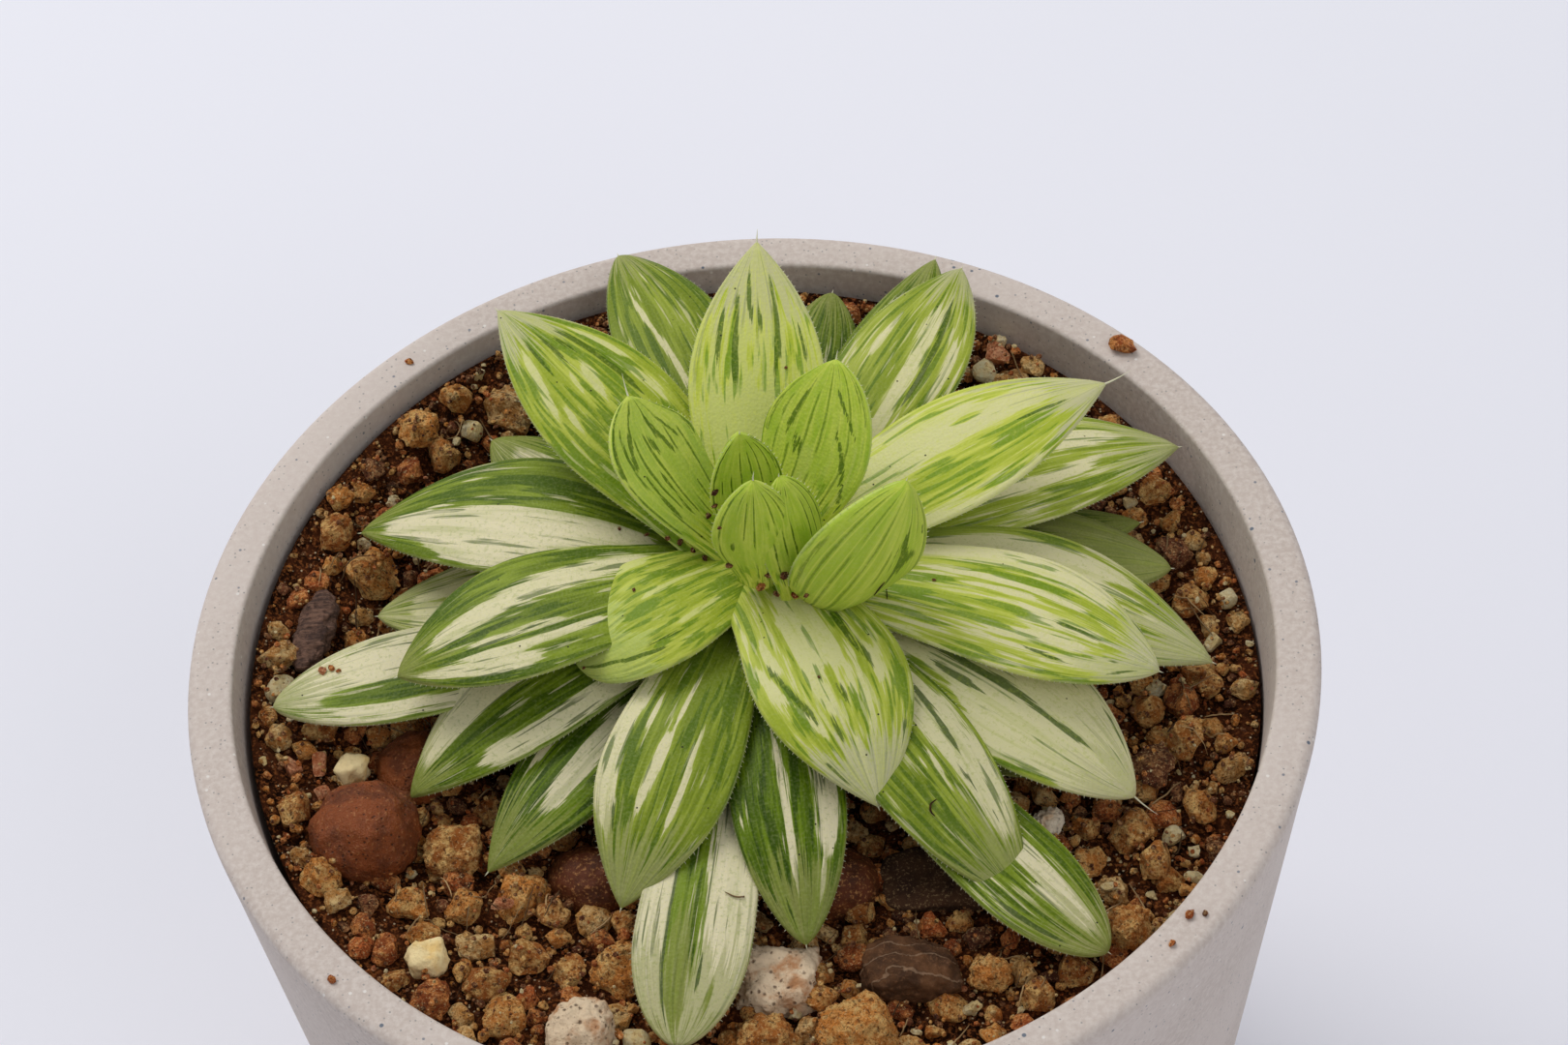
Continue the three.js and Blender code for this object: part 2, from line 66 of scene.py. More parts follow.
# Grains. A kind has its material slot, how many flat faces a grain has, how near its middle the closest of
# them lies, how rough it is, and its dark, middle and light colour, and the painted shade in its pits.
GRAIN_KINDS = {
    "ochre": ("brown_stone", 10, 0.58, 0.2, ("ac6226", "f09c48", "ffcf80", "3a1809")),
    "tan": ("brown_stone", 10, 0.58, 0.22, ("b47838", "f4b464", "ffdc9a", "401e0c")),
    "rust": ("brown_stone", 9, 0.58, 0.2, ("8e441c", "d47036", "f8a45a", "341407")),
    "humus": ("soil", 8, 0.55, 0.26, ("4a2414", "8e5232", "c48a58", "200e07")),
    "cream": ("pumice", 10, 0.45, 0.05, ("f4d894", "ffe8ae", "fff4cc", "d6a868")),
    "white": ("pumice", 8, 0.5, 0.24, ("f2d494", "ffe8ae", "fff4cc", "c09a60")),
    "brick": ("clay", 9, 0.4, 0.06, ("bc663c", "dc8c5e", "f4b084", "8c4424")),
}
KIND_SHAPES = 8
GRAVEL_SEED = 5
GROUND_CELL = 0.25

# Shares of a grain's radius: its height, its least breadth, how far out it rests on what is there, and how
# deep it may sink into the bed. Grains keep off a share of a stone's breadth, and off the leaves by a gap.
GRAIN_HEIGHT = 0.8
GRAIN_NARROWEST = 0.75
GRAIN_TILT = 0.25
GRAIN_REST = 0.8
GRAIN_DEEPEST = 0.5
STONE_ROOM = 0.85
LEAF_ROOM = 0.1

# The rule by which the CAD soil has its grains: see cad_grains. They get these kinds, by their shares.
CAD_TRIES = 144
CAD_SMALLEST = 1.7
CAD_LARGEST = 3.4
CAD_NARROWEST = 0.85
CAD_ROUGH = 0.16
CAD_RISE = 0.15
CAD_CROWDING = 0.86
CAD_SEED = 7
CAD_CORNERS = 12
CAD_NEAR = 0.75
CAD_SHOWING = 0.3
CAD_FACTOR = 1664525
CAD_ADDED = 1013904223
CAD_RANGE = 2 ** 32
CAD_KINDS = {"ochre": 0.5, "tan": 0.3, "rust": 0.2}
CAD_DETAIL = 4

# Grains that lie apart in the photo, by kind: the place and the length.
PLACED_GRAINS = {
    "cream": (
        (47.2, 6.3, 2.9), (45.1, 1.2, 2.5), (38.6, -20.8, 2.9), (40.1, -25.6, 2.2), (-46.2, 2.9, 3.8),
        (-27.3, 34.4, 3.3), (26.2, 36.1, 3.5), (-13.6, -39.3, 3.5), (9.1, -35.4, 2.3),
    ),
    "white": (
        (39.1, -3.6, 2.5), (-35.2, 25.5, 2.1), (31.7, -26.9, 1.6), (27.9, 40.2, 2.3), (35.8, -27.2, 1.4),
        (17.9, -38.3, 2),
    ),
    "brick": (
        (-45.4, -6.4, 2.7), (-42.7, -5.8, 2.9), (-42.2, -9, 2.7), (-25.4, -23.8, 2.6), (27.6, 37.5, 4.2),
        (-0.8, 46.8, 2.9),
    ),
    "ochre": (
        (34.6, -20.4, 4.8), (30.3, -23.4, 3.5), (36.5, -24.6, 4.4), (-34, -22.6, 4.6), (-45, -11.5, 4.2),
        (-42.5, -19.5, 4.4), (43.6, 6.1, 4.2), (41.4, 20, 3.8), (44.2, -4.2, 3.2), (41, -11, 4.6),
        (41.5, -17.9, 4.4), (-23.2, -29.2, 4.2), (-29, -23.1, 4), (-25.5, -35.9, 4.8), (-20.8, -24.4, 3.8),
        (-40.9, 21.4, 4.4), (-37.9, 16.1, 4), (-32.3, 33.3, 4.4), (-28.2, 37.6, 3.8), (-30.1, 31.2, 4),
        (24.2, -37.8, 3.8), (27.8, -35, 4.2), (24.6, -20.6, 3.5),
    ),
    "humus": ((37.3, -14.2, 5), (42.7, -23.3, 3), (-38.1, -22.4, 2.6), (19, -31, 3)),
}
PLACED_RISE = 0.4
PLACED_DETAIL = 3

# The other grains are thrown: tries, smallest and largest radius, how high they lie, how finely they are cut,
# how closely they may crowd (0 is at will), and the shares of the kinds. Small ones come more often.
SIZE_POWER = 1.6
EARTH = {"ochre": 0.45, "tan": 0.28, "rust": 0.22, "humus": 0.05}
GRIT = {"ochre": 0.33, "tan": 0.18, "rust": 0.24, "humus": 0.2, "cream": 0.02, "white": 0.02, "brick": 0.02}
CRUMBS = {"ochre": 0.2, "tan": 0.14, "rust": 0.2, "humus": 0.4, "white": 0.04, "cream": 0.01, "brick": 0.01}
THROWS = (
    (2600, 1.3, 2.3, 0.5, 3, 0.78, EARTH),
    (1500, 0.8, 1.4, 0.6, 3, 0.8, GRIT),
    (3600, 0.4, 0.8, 0.7, 2, 0.72, GRIT),
    (6500, 0.18, 0.42, 0.7, 1, 0, CRUMBS),
)

# Dry fibres on the soil
FIBRES = 320
FIBRE_SEED = 11
FIBRE_LENGTHS = (1.5, 5)
FIBRE_RADII = (0.05, 0.11)
FIBRE_STEPS = 8
FIBRE_BEND = 0.5
FIBRE_LIFT = 0.05
FIBRE_ROOM = 0.3

# Crumbs and hairs on the leaves and the rim. A crumb has its kind, the column and row of the photo's pixel
# that shows it, and its length. Its half sizes and its lift are shares of that length, and its form is said
# as a grain's is. A hair has its pixels, its radius and its tint.
CRUMB_SEED = 23
CRUMB_DETAIL = 2
CRUMB_SHAPES = 6
CRUMB_FORM = (7, 0.6, 0.25)
CRUMB_HALVES = (0.5, 0.36, 0.3)
CRUMB_LIFT = 0.2
HAIR_LIFT = 0.05
PHOTO_WIDTH = 1620
PHOTO_HEIGHT = 1080
CRUMBS_SEEN = (
    ("humus", 738, 508, 0.9), ("humus", 738, 522, 0.7), ("humus", 731, 533, 0.8), ("humus", 702, 561, 0.9),
    ("humus", 728, 578, 0.8), ("humus", 754, 583, 0.8), ("humus", 794, 593, 0.9), ("humus", 810, 593, 1.1),
    ("rust", 786, 604, 1.3), ("humus", 804, 613, 0.8), ("rust", 822, 614, 0.9), ("humus", 834, 614, 0.7),
    ("rust", 1160, 360, 3), ("rust", 343, 1014, 1.1), ("rust", 1229, 946, 1.2), ("humus", 1245, 945, 0.8),
    ("rust", 1211, 976, 0.9), ("rust", 423, 375, 1), ("humus", 640, 547, 0.5), ("humus", 668, 553, 0.6),
    ("humus", 690, 556, 0.7), ("humus", 716, 570, 0.7), ("humus", 744, 545, 0.5), ("humus", 655, 610, 0.5),
    ("humus", 812, 380, 0.4), ("humus", 846, 700, 0.4), ("humus", 604, 690, 0.45), ("humus", 965, 600, 0.45),
    ("brick", 334, 694, 1.1), ("rust", 343, 691, 0.9), ("rust", 350, 694, 0.6),
)
HAIRS_SEEN = (
    (((914, 600), (908, 607), (902, 615)), 0.07, 0),
    (((914, 600), (916, 610), (917, 621)), 0.06, 0),
    (((968, 826), (961, 831), (961, 839), (966, 844)), 0.1, 0),
    (((748, 922), (760, 928), (772, 927), (783, 935)), 0.1, 0.3),
)

# Stem axis, which leans a little to +X as it rises
STEM_X = -0.2
STEM_Y = 5
STEM_LEAN = 0.1

# Leaf form: shares of a leaf's width, and how many steps a fine leaf has.
BLADE_EDGE = 0.6
EDGE_SHARE = 0.3
FINE_TIP = 0.1
KEEL_SHARE = 0.24
CROWN_SHARE = 0.06
FLESH_POWER = 0.7
KEEL_POWER = 1.5
MARGIN_CROWDING = 1.3
LEAF_STEPS = 56
UPPER_STEPS = 60
LOWER_STEPS = 10

# The bristle at a leaf's tip, which starts inside it, and the teeth along both margins
AWN_USUAL = 0.7
AWN_RADIUS = 0.12
AWN_INSIDE = 0.3
AWN_CURL = 0.15
TEETH_SEED = 100
TEETH_APART = 0.7
TEETH_FROM = 0.2
TEETH_TO = 0.96
TOOTH_LENGTHS = (0.15, 0.32)
TOOTH_RADIUS = 0.05
TOOTH_INSIDE = 0.04
TOOTH_LEAN = 0.7
TOOTH_SWING = 0.15

# The leaves, from the heart outwards. Their form: heading, reach, heights of base and tip above the soil, the
# bend of the spine, and the outline's breadth, widest place, neck and bluntness. Their colours: how old a
# leaf is (0 is the fresh yellow green of the heart, brightened with painted light that shines through its
# young leaves, 1 the deep green of the old leaves), how far its ground leans to cream, how yellow its cream
# is, where along it the clear window at its tip starts, how strong the window's dark lines are, and how grey
# it is. Where they aren't usual, last and by name: the spine's sway and where it bends most, its start from
# the stem's axis, the blade's roll and cup, and the bristle's length.
LEAF_COLUMNS = (
    "name", "turn", "reach", "base", "tip", "arch", "width", "widest", "neck", "blunt",
    "age", "ground", "yellow", "window", "lines", "grey",
)
LEAF_USUAL = {"sway": 0, "lean": 0.5, "root": 2, "roll": 0, "cup": 0, "awn": 0}
LEAF_ROWS = (
    ("heart_front", -90, 4.6, 17.7, 32.4, -1, 8.7, 0.5, 0.55, 0.75, 0.05, -0.4, 0.95, 0.25, 0.75, 0,
     {"root": 4.2, "cup": 0.5, "awn": 1.4}),
    ("heart_back", 107, 3, 17, 30.5, 0, 7.4, 0.45, 0.7, 0.75, 0.1, -0.4, 0.95, 0.25, 0.9, 0,
     {"root": 1.5, "cup": 0.5}),
    ("heart_side", -52, 4.1, 16.5, 31, 0, 7.3, 0.5, 0.75, 0.75, 0.1, -0.4, 0.95, 0.25, 0.9, 0,
     {"root": 6.5, "cup": 0.5}),
    ("heart_right_back", 48.6, 13.5, 16, 31.7, 1.6, 11.8, 0.48, 0.6, 0.8, 0, -0.2, 1, 0.3, 0.6, 0,
     {"sway": -1.3, "root": 3, "roll": 2, "cup": 0.6, "awn": 1.2}),
    ("heart_left_back", 137, 15.2, 16, 28.7, 1.1, 10.6, 0.62, 0.6, 0.9, 0, -0.3, 0.9, 0.2, 0.8, 0.1,
     {"sway": 1.7, "root": 3, "roll": 7, "cup": 0.6, "awn": 2.5}),
    ("heart_right", -20.6, 15.6, 13.4, 31.6, -1.6, 13, 0.64, 0.25, 0.75, 0.16, -0.35, 1, 0.35, 0.5, 0,
     {"sway": -3.9, "root": 5.1, "roll": -58.6, "cup": 0.4}),
    ("middle_back", 85, 29, 14, 29, 1, 13.4, 0.5, 0.6, 1, 0.15, 0.05, 0.9, 0.74, 0.3, 1,
     {"cup": 0.3, "awn": 1.5}),
    ("middle_left_back", 131, 36, 14, 24, 2, 14.5, 0.5, 0.6, 1, 0.42, -0.55, 0.6, 0.84, 0.2, 1, {"cup": 0.2}),
    ("middle_right_back", 20, 37.5, 14, 22, 1.8, 12.6, 0.52, 0.6, 1, 0.24, -0.08, 0.5, 0.8, 0.3, 1,
     {"sway": -0.1, "roll": 8, "cup": 0.2, "awn": 3}),
    ("middle_left", -155.2, 19.7, 14.5, 12, 2.8, 13.3, 0.45, 0.7, 0.63, 0.4, -0.5, 0.8, 0.6, 0.3, 0.35,
     {"sway": 1.2, "lean": 0.7, "cup": -0.5}),
    ("middle_front", -71, 29, 14.5, 11, 3.5, 15, 0.5, 0.7, 0.95, 0.4, -0.16, 0.5, 0.76, 0.2, 1,
     {"sway": 0.5, "lean": 0.6, "cup": -0.3}),
    ("middle_right", -21, 40, 13.5, 11, 3.3, 14, 0.6, 0.55, 0.85, 0.38, -0.08, 0.3, 0.84, 0.3, 1,
     {"sway": 0.3, "lean": 0.6}),
    ("middle_far_left", -168, 36, 13.5, 11, 3.3, 14.5, 0.55, 0.6, 0.9, 0.85, -0.4, 0.2, 0.87, 0.3, 1,
     {"lean": 0.6}),
    ("outer_front_left", -114.8, 35.6, 11.5, 5, 3.9, 13.3, 0.61, 0.55, 0.93, 0.75, -0.65, 0.2, 0.82, 0.2, 1,
     {"sway": 0.2, "lean": 0.55}),
    ("outer_front_right", -57, 40.4, 11, 5, 5.3, 12.4, 0.59, 0.6, 0.61, 0.75, -0.5, 0.25, 0.88, 0.2, 1,
     {"sway": -0.7, "lean": 0.55}),
    ("outer_right_low", -35.5, 42, 10.5, 5, 4.5, 14.5, 0.62, 0.5, 0.78, 0.6, 0.35, 0.3, 0.88, 0.2, 1,
     {"sway": 0.6, "lean": 0.55, "awn": 3}),
    ("outer_right", -12, 44.5, 10.5, 5, 5, 14.5, 0.6, 0.5, 0.95, 0.6, -0.1, 0.25, 0.85, 0.2, 1,
     {"sway": 1.5}),
    ("outer_left", 160, 41.5, 11, 7, 5, 15, 0.55, 0.55, 0.95, 0.85, -0.5, 0.1, 0.92, 0.2, 1, {"sway": -1}),
    ("outer_back_right", 57, 43, 10.5, 15, 3, 12.5, 0.6, 0.55, 0.95, 0.6, -0.2, 0.3, 0.87, 0.2, 1,
     {"sway": -1.5}),
    ("outer_far_right", 21, 46.5, 10, 7, 4, 14.5, 0.58, 0.5, 0.95, 0.65, -0.15, 0.2, 0.87, 0.3, 1,
     {"sway": 1}),
    ("outer_back_left", 104.4, 46, 9.5, 12, 3, 12.2, 0.62, 0.55, 0.8, 0.75, -0.4, 0.3, 0.9, 0.1, 1,
     {"sway": -1.8}),
    ("lower_left", -155, 38, 8, 3, 4.5, 13, 0.58, 0.5, 0.9, 0.95, -0.35, 0.2, 0.9, 0.2, 1, {"sway": -1}),
    ("lower_front", -86.4, 37.6, 8, 4.2, 4.3, 11, 0.62, 0.5, 0.72, 1, -0.5, 0.1, 0.82, 0.2, 1, {"sway": 0.2}),
    ("lower_right", 5, 41.5, 7.5, 4, 3.5, 12.5, 0.62, 0.5, 0.75, 0.8, -0.3, 0.2, 0.6, 0.3, 1, {"sway": 1}),
    ("lower_front_left", -137, 37, 6.5, 2.5, 3.2, 11.3, 0.58, 0.5, 0.95, 1, -0.45, 0.1, 0.83, 0.2, 1),
    ("lower_front_right", -53, 50.4, 6, 3, 3.3, 10.3, 0.77, 0.45, 0.62, 0.9, -0.15, 0.1, 0.88, 0.2, 1,
     {"sway": -1.9}),
    ("lower_far_left", 170, 38, 7, 3, 2.5, 12, 0.6, 0.5, 0.8, 0.7, 0, 0.3, 0.85, 0.6, 1),
    ("lowest_front", -102, 47.7, 5, 2.8, 3.3, 11.2, 0.78, 0.45, 0.6, 0.95, 0.1, 0.1, 0.8, 0.2, 1,
     {"sway": 0.1}),
    ("lowest_left", -172.7, 47.4, 4.5, 6, 2, 11, 0.7, 0.45, 0.7, 0.9, 0.1, 0.1, 0.92, 0.2, 1),
    ("lowest_back_right", 62.5, 46.6, 6, 11, 1, 11, 0.6, 0.45, 0.9, 0.8, -0.4, 0.2, 0.88, 0.3, 1,
     {"sway": -1}),
    ("lowest_back", 75, 42, 4, 8, 0.5, 11, 0.62, 0.45, 0.7, 0.9, -0.6, 0.2, 0.88, 0.2, 1),
    ("lowest_back_left", 133.3, 36.8, 5, 5, 1, 12, 0.6, 0.45, 0.8, 0.9, -0.2, 0.1, 0.85, 0.3, 1),
    ("lowest_right_back", 14, 40.5, 5, 4, 2, 10, 0.55, 0.45, 0.9, 0.95, -0.6, 0.2, 0.85, 0.2, 1),
    ("lowest_right", -37, 32, 4, 2.5, 1.5, 9, 0.55, 0.45, 0.9, 0.95, -0.6, 0.2, 0.85, 0.2, 1),
)

# Lengthwise bands of a leaf: the colour, where it starts and ends along the leaf, its middle's place across
# the leaf at both ends, and half its breadth, all in hundredths. Across, 100 is the left margin seen from the
# base.
CREAM = 1
GREEN = -1
DARK = 0
LEAF_BANDS = {
    "heart_front": (
        (DARK, 48, 85, -60, -40, 4.5), (DARK, 25, 50, -55, -48, 4), (DARK, 20, 85, -12, -12, 4.5),
        (DARK, 20, 55, 25, 15, 4.5), (DARK, 50, 80, 50, 30, 5), (DARK, 48, 65, 70, 65, 3.5),
    ),
    "heart_right_back": (
        (CREAM, 5, 60, -80, -75, 4), (CREAM, 10, 50, 10, 5, 12), (DARK, 48, 80, 55, 50, 5),
        (DARK, 38, 54, 30, 38, 3.5), (DARK, 38, 52, 20, 28, 3), (DARK, 60, 85, -70, -20, 4.5),
        (DARK, 25, 62, -95, -32, 5),
    ),
    "heart_left_back": (
        (DARK, 60, 99, 93, 90, 5), (DARK, 60, 85, 62, 72, 4), (DARK, 58, 97, 63, 30, 5),
        (DARK, 55, 88, -32, -12, 5), (DARK, 60, 85, -60, -40, 4), (DARK, 60, 75, -2, 2, 4),
        (DARK, 30, 60, 60, 50, 4), (DARK, 25, 55, 30, 20, 4),
    ),
    "heart_right": (
        (CREAM, 45, 85, -75, -65, 7), (DARK, 58, 88, 25, 33, 5), (DARK, 52, 80, 85, 55, 5),
        (DARK, 80, 93, 95, 60, 4), (DARK, 58, 68, 90, 93, 4),
    ),
    "middle_back": (
        (CREAM, -10, 50, 0, 0, 75), (DARK, 50, 83, 28, 42, 5), (DARK, 70, 92, 5, 28, 5),
        (DARK, 64, 78, -8, -5, 4), (DARK, 50, 90, -28, -42, 5), (GREEN, 55, 73, -52, -58, 7),
        (DARK, 56, 72, -75, -72, 3), (DARK, 55, 78, 55, 65, 4),
    ),
    "middle_left_back": (
        (GREEN, 42, 93, 95, 50, 7), (CREAM, 60, 85, 66, 45, 8), (DARK, 70, 88, 30, 27, 4),
        (DARK, 72, 86, -5, -10, 5), (DARK, 70, 83, -30, -30, 5), (DARK, 50, 84, -50, -50, 6),
        (CREAM, 55, 70, -3, -22, 7), (CREAM, 60, 70, 15, 5, 4), (CREAM, 60, 82, -78, -70, 6),
        (CREAM, 45, 62, -70, -66, 6), (CREAM, 52, 62, 55, 50, 5),
    ),
    "middle_right_back": (
        (CREAM, -10, 85, 20, 40, 35), (GREEN, 10, 82, -45, -25, 38), (CREAM, 10, 78, -95, -95, 12),
        (GREEN, 48, 60, 78, 72, 8), (GREEN, 55, 67, 38, 42, 6), (GREEN, 64, 76, 62, 65, 6),
        (DARK, 70, 88, -2, -10, 5), (GREEN, 78, 92, -80, -70, 7), (GREEN, 90, 97, -80, -60, 8),
    ),
    "middle_left": (
        (CREAM, 30, 65, -90, -90, 10), (GREEN, 15, 60, -60, -70, 10), (CREAM, 10, 50, -20, -15, 4),
        (CREAM, 15, 42, 50, 50, 4), (CREAM, 62, 68, -10, -10, 4), (CREAM, 55, 60, 20, 20, 3),
        (DARK, 50, 97, 75, 50, 3.5), (DARK, 38, 62, 62, 60, 3),
    ),
    "middle_front": (
        (CREAM, 10, 50, 5, 0, 25), (CREAM, 20, 68, -30, -20, 7), (CREAM, 40, 78, 35, 30, 5),
        (CREAM, 42, 60, 60, 58, 7), (CREAM, 25, 42, 65, 65, 5), (CREAM, 28, 47, -70, -60, 6),
        (CREAM, 35, 75, -90, -40, 6), (DARK, 25, 50, 45, 45, 5), (DARK, 42, 55, 50, 52, 4),
        (GREEN, 32, 55, 85, 85, 7), (DARK, 52, 66, -2, 5, 4), (DARK, 38, 68, -72, -45, 5),
        (DARK, 62, 78, -25, -25, 3), (DARK, 78, 84, 20, 20, 3), (DARK, 72, 80, 85, 85, 5),
        (CREAM, 72, 97, -5, -5, 5), (DARK, 78, 93, -75, -75, 5),
    ),
    "middle_right": (
        (CREAM, 25, 82, 85, 85, 28), (GREEN, 10, 88, 60, 42, 12), (CREAM, 30, 78, 40, 28, 6),
        (CREAM, 40, 65, 18, 20, 4), (CREAM, 50, 85, -10, -10, 12), (CREAM, 48, 80, -40, -35, 12),
        (GREEN, 5, 62, -15, -20, 25), (DARK, 66, 82, -5, -12, 4), (DARK, 80, 88, 10, 10, 3),
        (DARK, 62, 76, -60, -70, 3), (DARK, 83, 90, -45, -50, 4), (DARK, 84, 96, -85, -60, 5),
        (DARK, 84, 95, 85, 90, 3),
    ),
    "middle_far_left": (
        (GREEN, -10, 95, -80, -75, 24), (CREAM, 20, 88, -55, -5, 20), (CREAM, 35, 80, 52, 50, 7),
        (CREAM, 45, 75, 33, 30, 5), (DARK, 55, 85, 10, 15, 4), (DARK, 50, 80, 30, 38, 3),
        (CREAM, 55, 95, 75, 70, 15), (DARK, 60, 84, 90, 88, 6),
    ),
    "outer_left": (
        (CREAM, 20, 92, 48, 48, 50), (GREEN, 75, 100, 95, 80, 20), (CREAM, 72, 85, -12, -5, 3),
        (CREAM, 68, 74, -60, -60, 4),
    ),
    "outer_front_left": (
        (CREAM, 30, 82, -95, -75, 17), (CREAM, 50, 77, -10, -20, 7), (CREAM, 30, 50, -2, -10, 3),
        (CREAM, 38, 55, -50, -50, 4), (CREAM, 58, 68, -68, -68, 4), (CREAM, 50, 80, 30, 35, 5),
        (DARK, 72, 85, -62, -55, 3),
    ),
    "outer_front_right": (
        (CREAM, 15, 90, 55, 60, 30), (GREEN, 20, 56, 95, 97, 12), (DARK, 30, 68, 75, 50, 5),
        (DARK, 68, 78, 38, 40, 4), (DARK, 80, 87, 45, 50, 4), (GREEN, 10, 95, -50, -45, 45),
        (CREAM, 60, 68, -5, -8, 3), (CREAM, 60, 72, 12, 5, 3), (DARK, 80, 95, -85, -80, 5),
    ),
    "outer_right_low": (
        (CREAM, -10, 95, 0, 0, 85), (DARK, 30, 86.5, 4, -2, 5.5), (DARK, 42, 58, -20, -28, 5),
        (GREEN, 36, 57, -30, -62, 8), (DARK, 80, 95, 85, 80, 6), (GREEN, 66, 86, -98, -98, 8),
    ),
    "outer_right": (
        (GREEN, 5, 72, 80, 80, 20), (CREAM, 30, 82, 50, 50, 28), (GREEN, 73, 93, 42, 60, 8),
        (CREAM, 80, 93, 10, 20, 6),
    ),
    "outer_back_right": (
        (GREEN, 40, 85, 15, 15, 15), (CREAM, 35, 85, -30, -10, 12), (CREAM, 60, 76, 50, 50, 7),
        (DARK, 50, 86, -45, -35, 6), (CREAM, 50, 75, -75, -70, 8),
    ),
    "outer_far_right": (
        (CREAM, 66, 86, 20, 30, 20), (GREEN, 50, 87, -30, 0, 13), (CREAM, 30, 80, -50, -35, 10),
        (GREEN, 74, 88, -80, -75, 8), (GREEN, 80, 95, 90, 80, 12),
    ),
    "outer_back_left": ((CREAM, 45, 72, 10, 28, 6), (CREAM, 68, 84, 30, 40, 5), (CREAM, 84, 92, -10, -5, 4)),
    "lower_left": (
        (CREAM, 55, 93, -60, -50, 45), (GREEN, -10, 90, 30, 30, 30), (CREAM, 30, 83, 80, 75, 18),
        (GREEN, 82, 93, 95, 90, 7),
    ),
    "lower_front": (
        (CREAM, 45, 88, -8, -4, 7), (CREAM, 50, 80, 65, 68, 20), (CREAM, 78, 92, 58, 60, 6),
        (DARK, 75, 85, 50, 55, 3), (CREAM, 66, 72, -85, -85, 3), (DARK, 88, 97, -40, -40, 4),
    ),
    "lower_front_left": (
        (CREAM, 42, 80, -5, 25, 20), (CREAM, 50, 74, -62, -68, 8), (DARK, 80, 97, 90, 85, 5),
    ),
    "lower_front_right": (
        (GREEN, 60, 95, 85, 80, 25), (CREAM, 68, 97, 20, 15, 30), (DARK, 74, 80, 35, 35, 3),
        (GREEN, 50, 82, -35, -20, 30), (DARK, 78, 95, -75, -70, 5),
    ),
    "lowest_front": (
        (CREAM, 0, 97, -72, -75, 30), (GREEN, -10, 97, -14, -15, 27), (DARK, 55, 97, -43, -45, 4),
        (CREAM, 30, 95, 60, 60, 42), (DARK, 80, 92, 20, 25, 3), (GREEN, 85, 96, 50, 55, 5),
        (CREAM, 83, 92, 2, 5, 3),
    ),
    "lower_right": ((CREAM, 0, 55, 10, 10, 30), (GREEN, 60, 110, 0, 0, 95)),
    "lower_far_left": ((CREAM, 0, 90, 20, 20, 60), (GREEN, 20, 85, 0, 0, 7), (DARK, 20, 80, 45, 40, 6)),
    "lowest_left": (
        (CREAM, 0, 92, -40, -35, 40), (GREEN, 0, 90, 45, 40, 25), (DARK, 20, 70, -65, -60, 4),
        (CREAM, 20, 90, 85, 75, 12),
    ),
    "lowest_back_left": ((CREAM, 30, 90, 0, 0, 30), (GREEN, 40, 80, -30, -20, 8)),
}
BAND_SOFT = 0.12
BAND_PUSH = 0.5
BAND_ENDS = 0.05

# Stones: the look, how many times the CAD stone is rounded and cut finer, how deep and how close its
# roughness is, and how square its form is, where 2 leaves it as it is.
STONES = {
    "clay_ball_large": ("clay", 3, 0, 0.42, 0.32, 2),
    "clay_ball_small": ("clay", 3, 0, 0.4, 0.35, 2),
    "pebble_dark_left": ("pebble", 3, 0, 0.2, 0.5, 2),
    "pebble_dark_front": ("pebble", 3, 0, 0.2, 0.5, 2),
    "slate_chip": ("slate", 0, 3, 0.1, 0.8, 7),
    "veined_stone": ("veined", 1, 2, 0.35, 0.6, 2.6),
    "pumice_front": ("pumice", 0, 3, 0.4, 0.9, 4),
    "pink_stone": ("pumice", 1, 2, 0.35, 0.9, 2.5),
    "brown_stone_front": ("brown", 0, 3, 0.5, 0.8, 2.4),
    "brown_stone_middle": ("brown", 0, 3, 0.45, 0.9, 2.4),
    "brown_stone_right": ("brown", 0, 4, 0.45, 0.9, 2.4),
    "brown_stone_left": ("brown", 0, 3, 0.5, 0.8, 2.4),
    "brown_stone_edge": ("brown", 0, 4, 0.45, 0.9, 2.4),
    "bark_chip": ("bark", 1, 2, 0.3, 0.8, 2),
    "pumice_left": ("cream", 0, 3, 0.2, 0.7, 3.6),
    "pumice_near_left": ("cream", 0, 3, 0.2, 0.7, 3.6),
    "perlite_right": ("white", 1, 3, 0.35, 1.1, 2),
}
TINT_STEP = 0.37
BARK_TURN = math.radians(75)

# Camera at the photo's viewing angle
VIEW_TARGET = Vector((4.13, 15.27, 90))
VIEW_DISTANCE = 421.1
VIEW_ELEVATION = 0.878
VIEW_ROLL = -0.082
LENS = 97.5
SENSOR_WIDTH = 36

# Stage and lights. A light has its place in metres, its size, its power and its colour.
FLOOR_REACH = 4000
LIGHT_TARGET = Vector((0, 0, 0.08))
LIGHTS = {
    "window": ((-0.5, 0.7, 1.1), 0.9, 10.2, (1, 0.98, 0.95)),
    "fill": ((0.6, -0.7, 0.9), 1, 2.6, (1, 0.98, 0.96)),
}
SKY_COLOUR = (0.94, 0.96, 1, 1)
SKY_STRENGTH = 0.46


# Small tools

def unit(vectors):
    return vectors / np.linalg.norm(vectors, axis=-1, keepdims=True)


def smooth(value, low, high):
    share = np.clip((value - low) / (high - low), 0, 1)
    return share * share * (3 - 2 * share)


def around(sides):
    """The cosines and sines of evenly spread turns."""
    turns = 2 * np.pi * np.arange(sides) / sides
    return np.cos(turns), np.sin(turns)


def points_mm(mesh):
    return np.array([vertex.co for vertex in mesh.vertices]) / MM


def box_mm(node):
    return [np.array(corner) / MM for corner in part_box(node)]


def link(name, data):
    """An object with that mesh, lamp or camera, in the scene."""
    made = bpy.data.objects.new(name, data)
    bpy.context.scene.collection.objects.link(made)
    return made


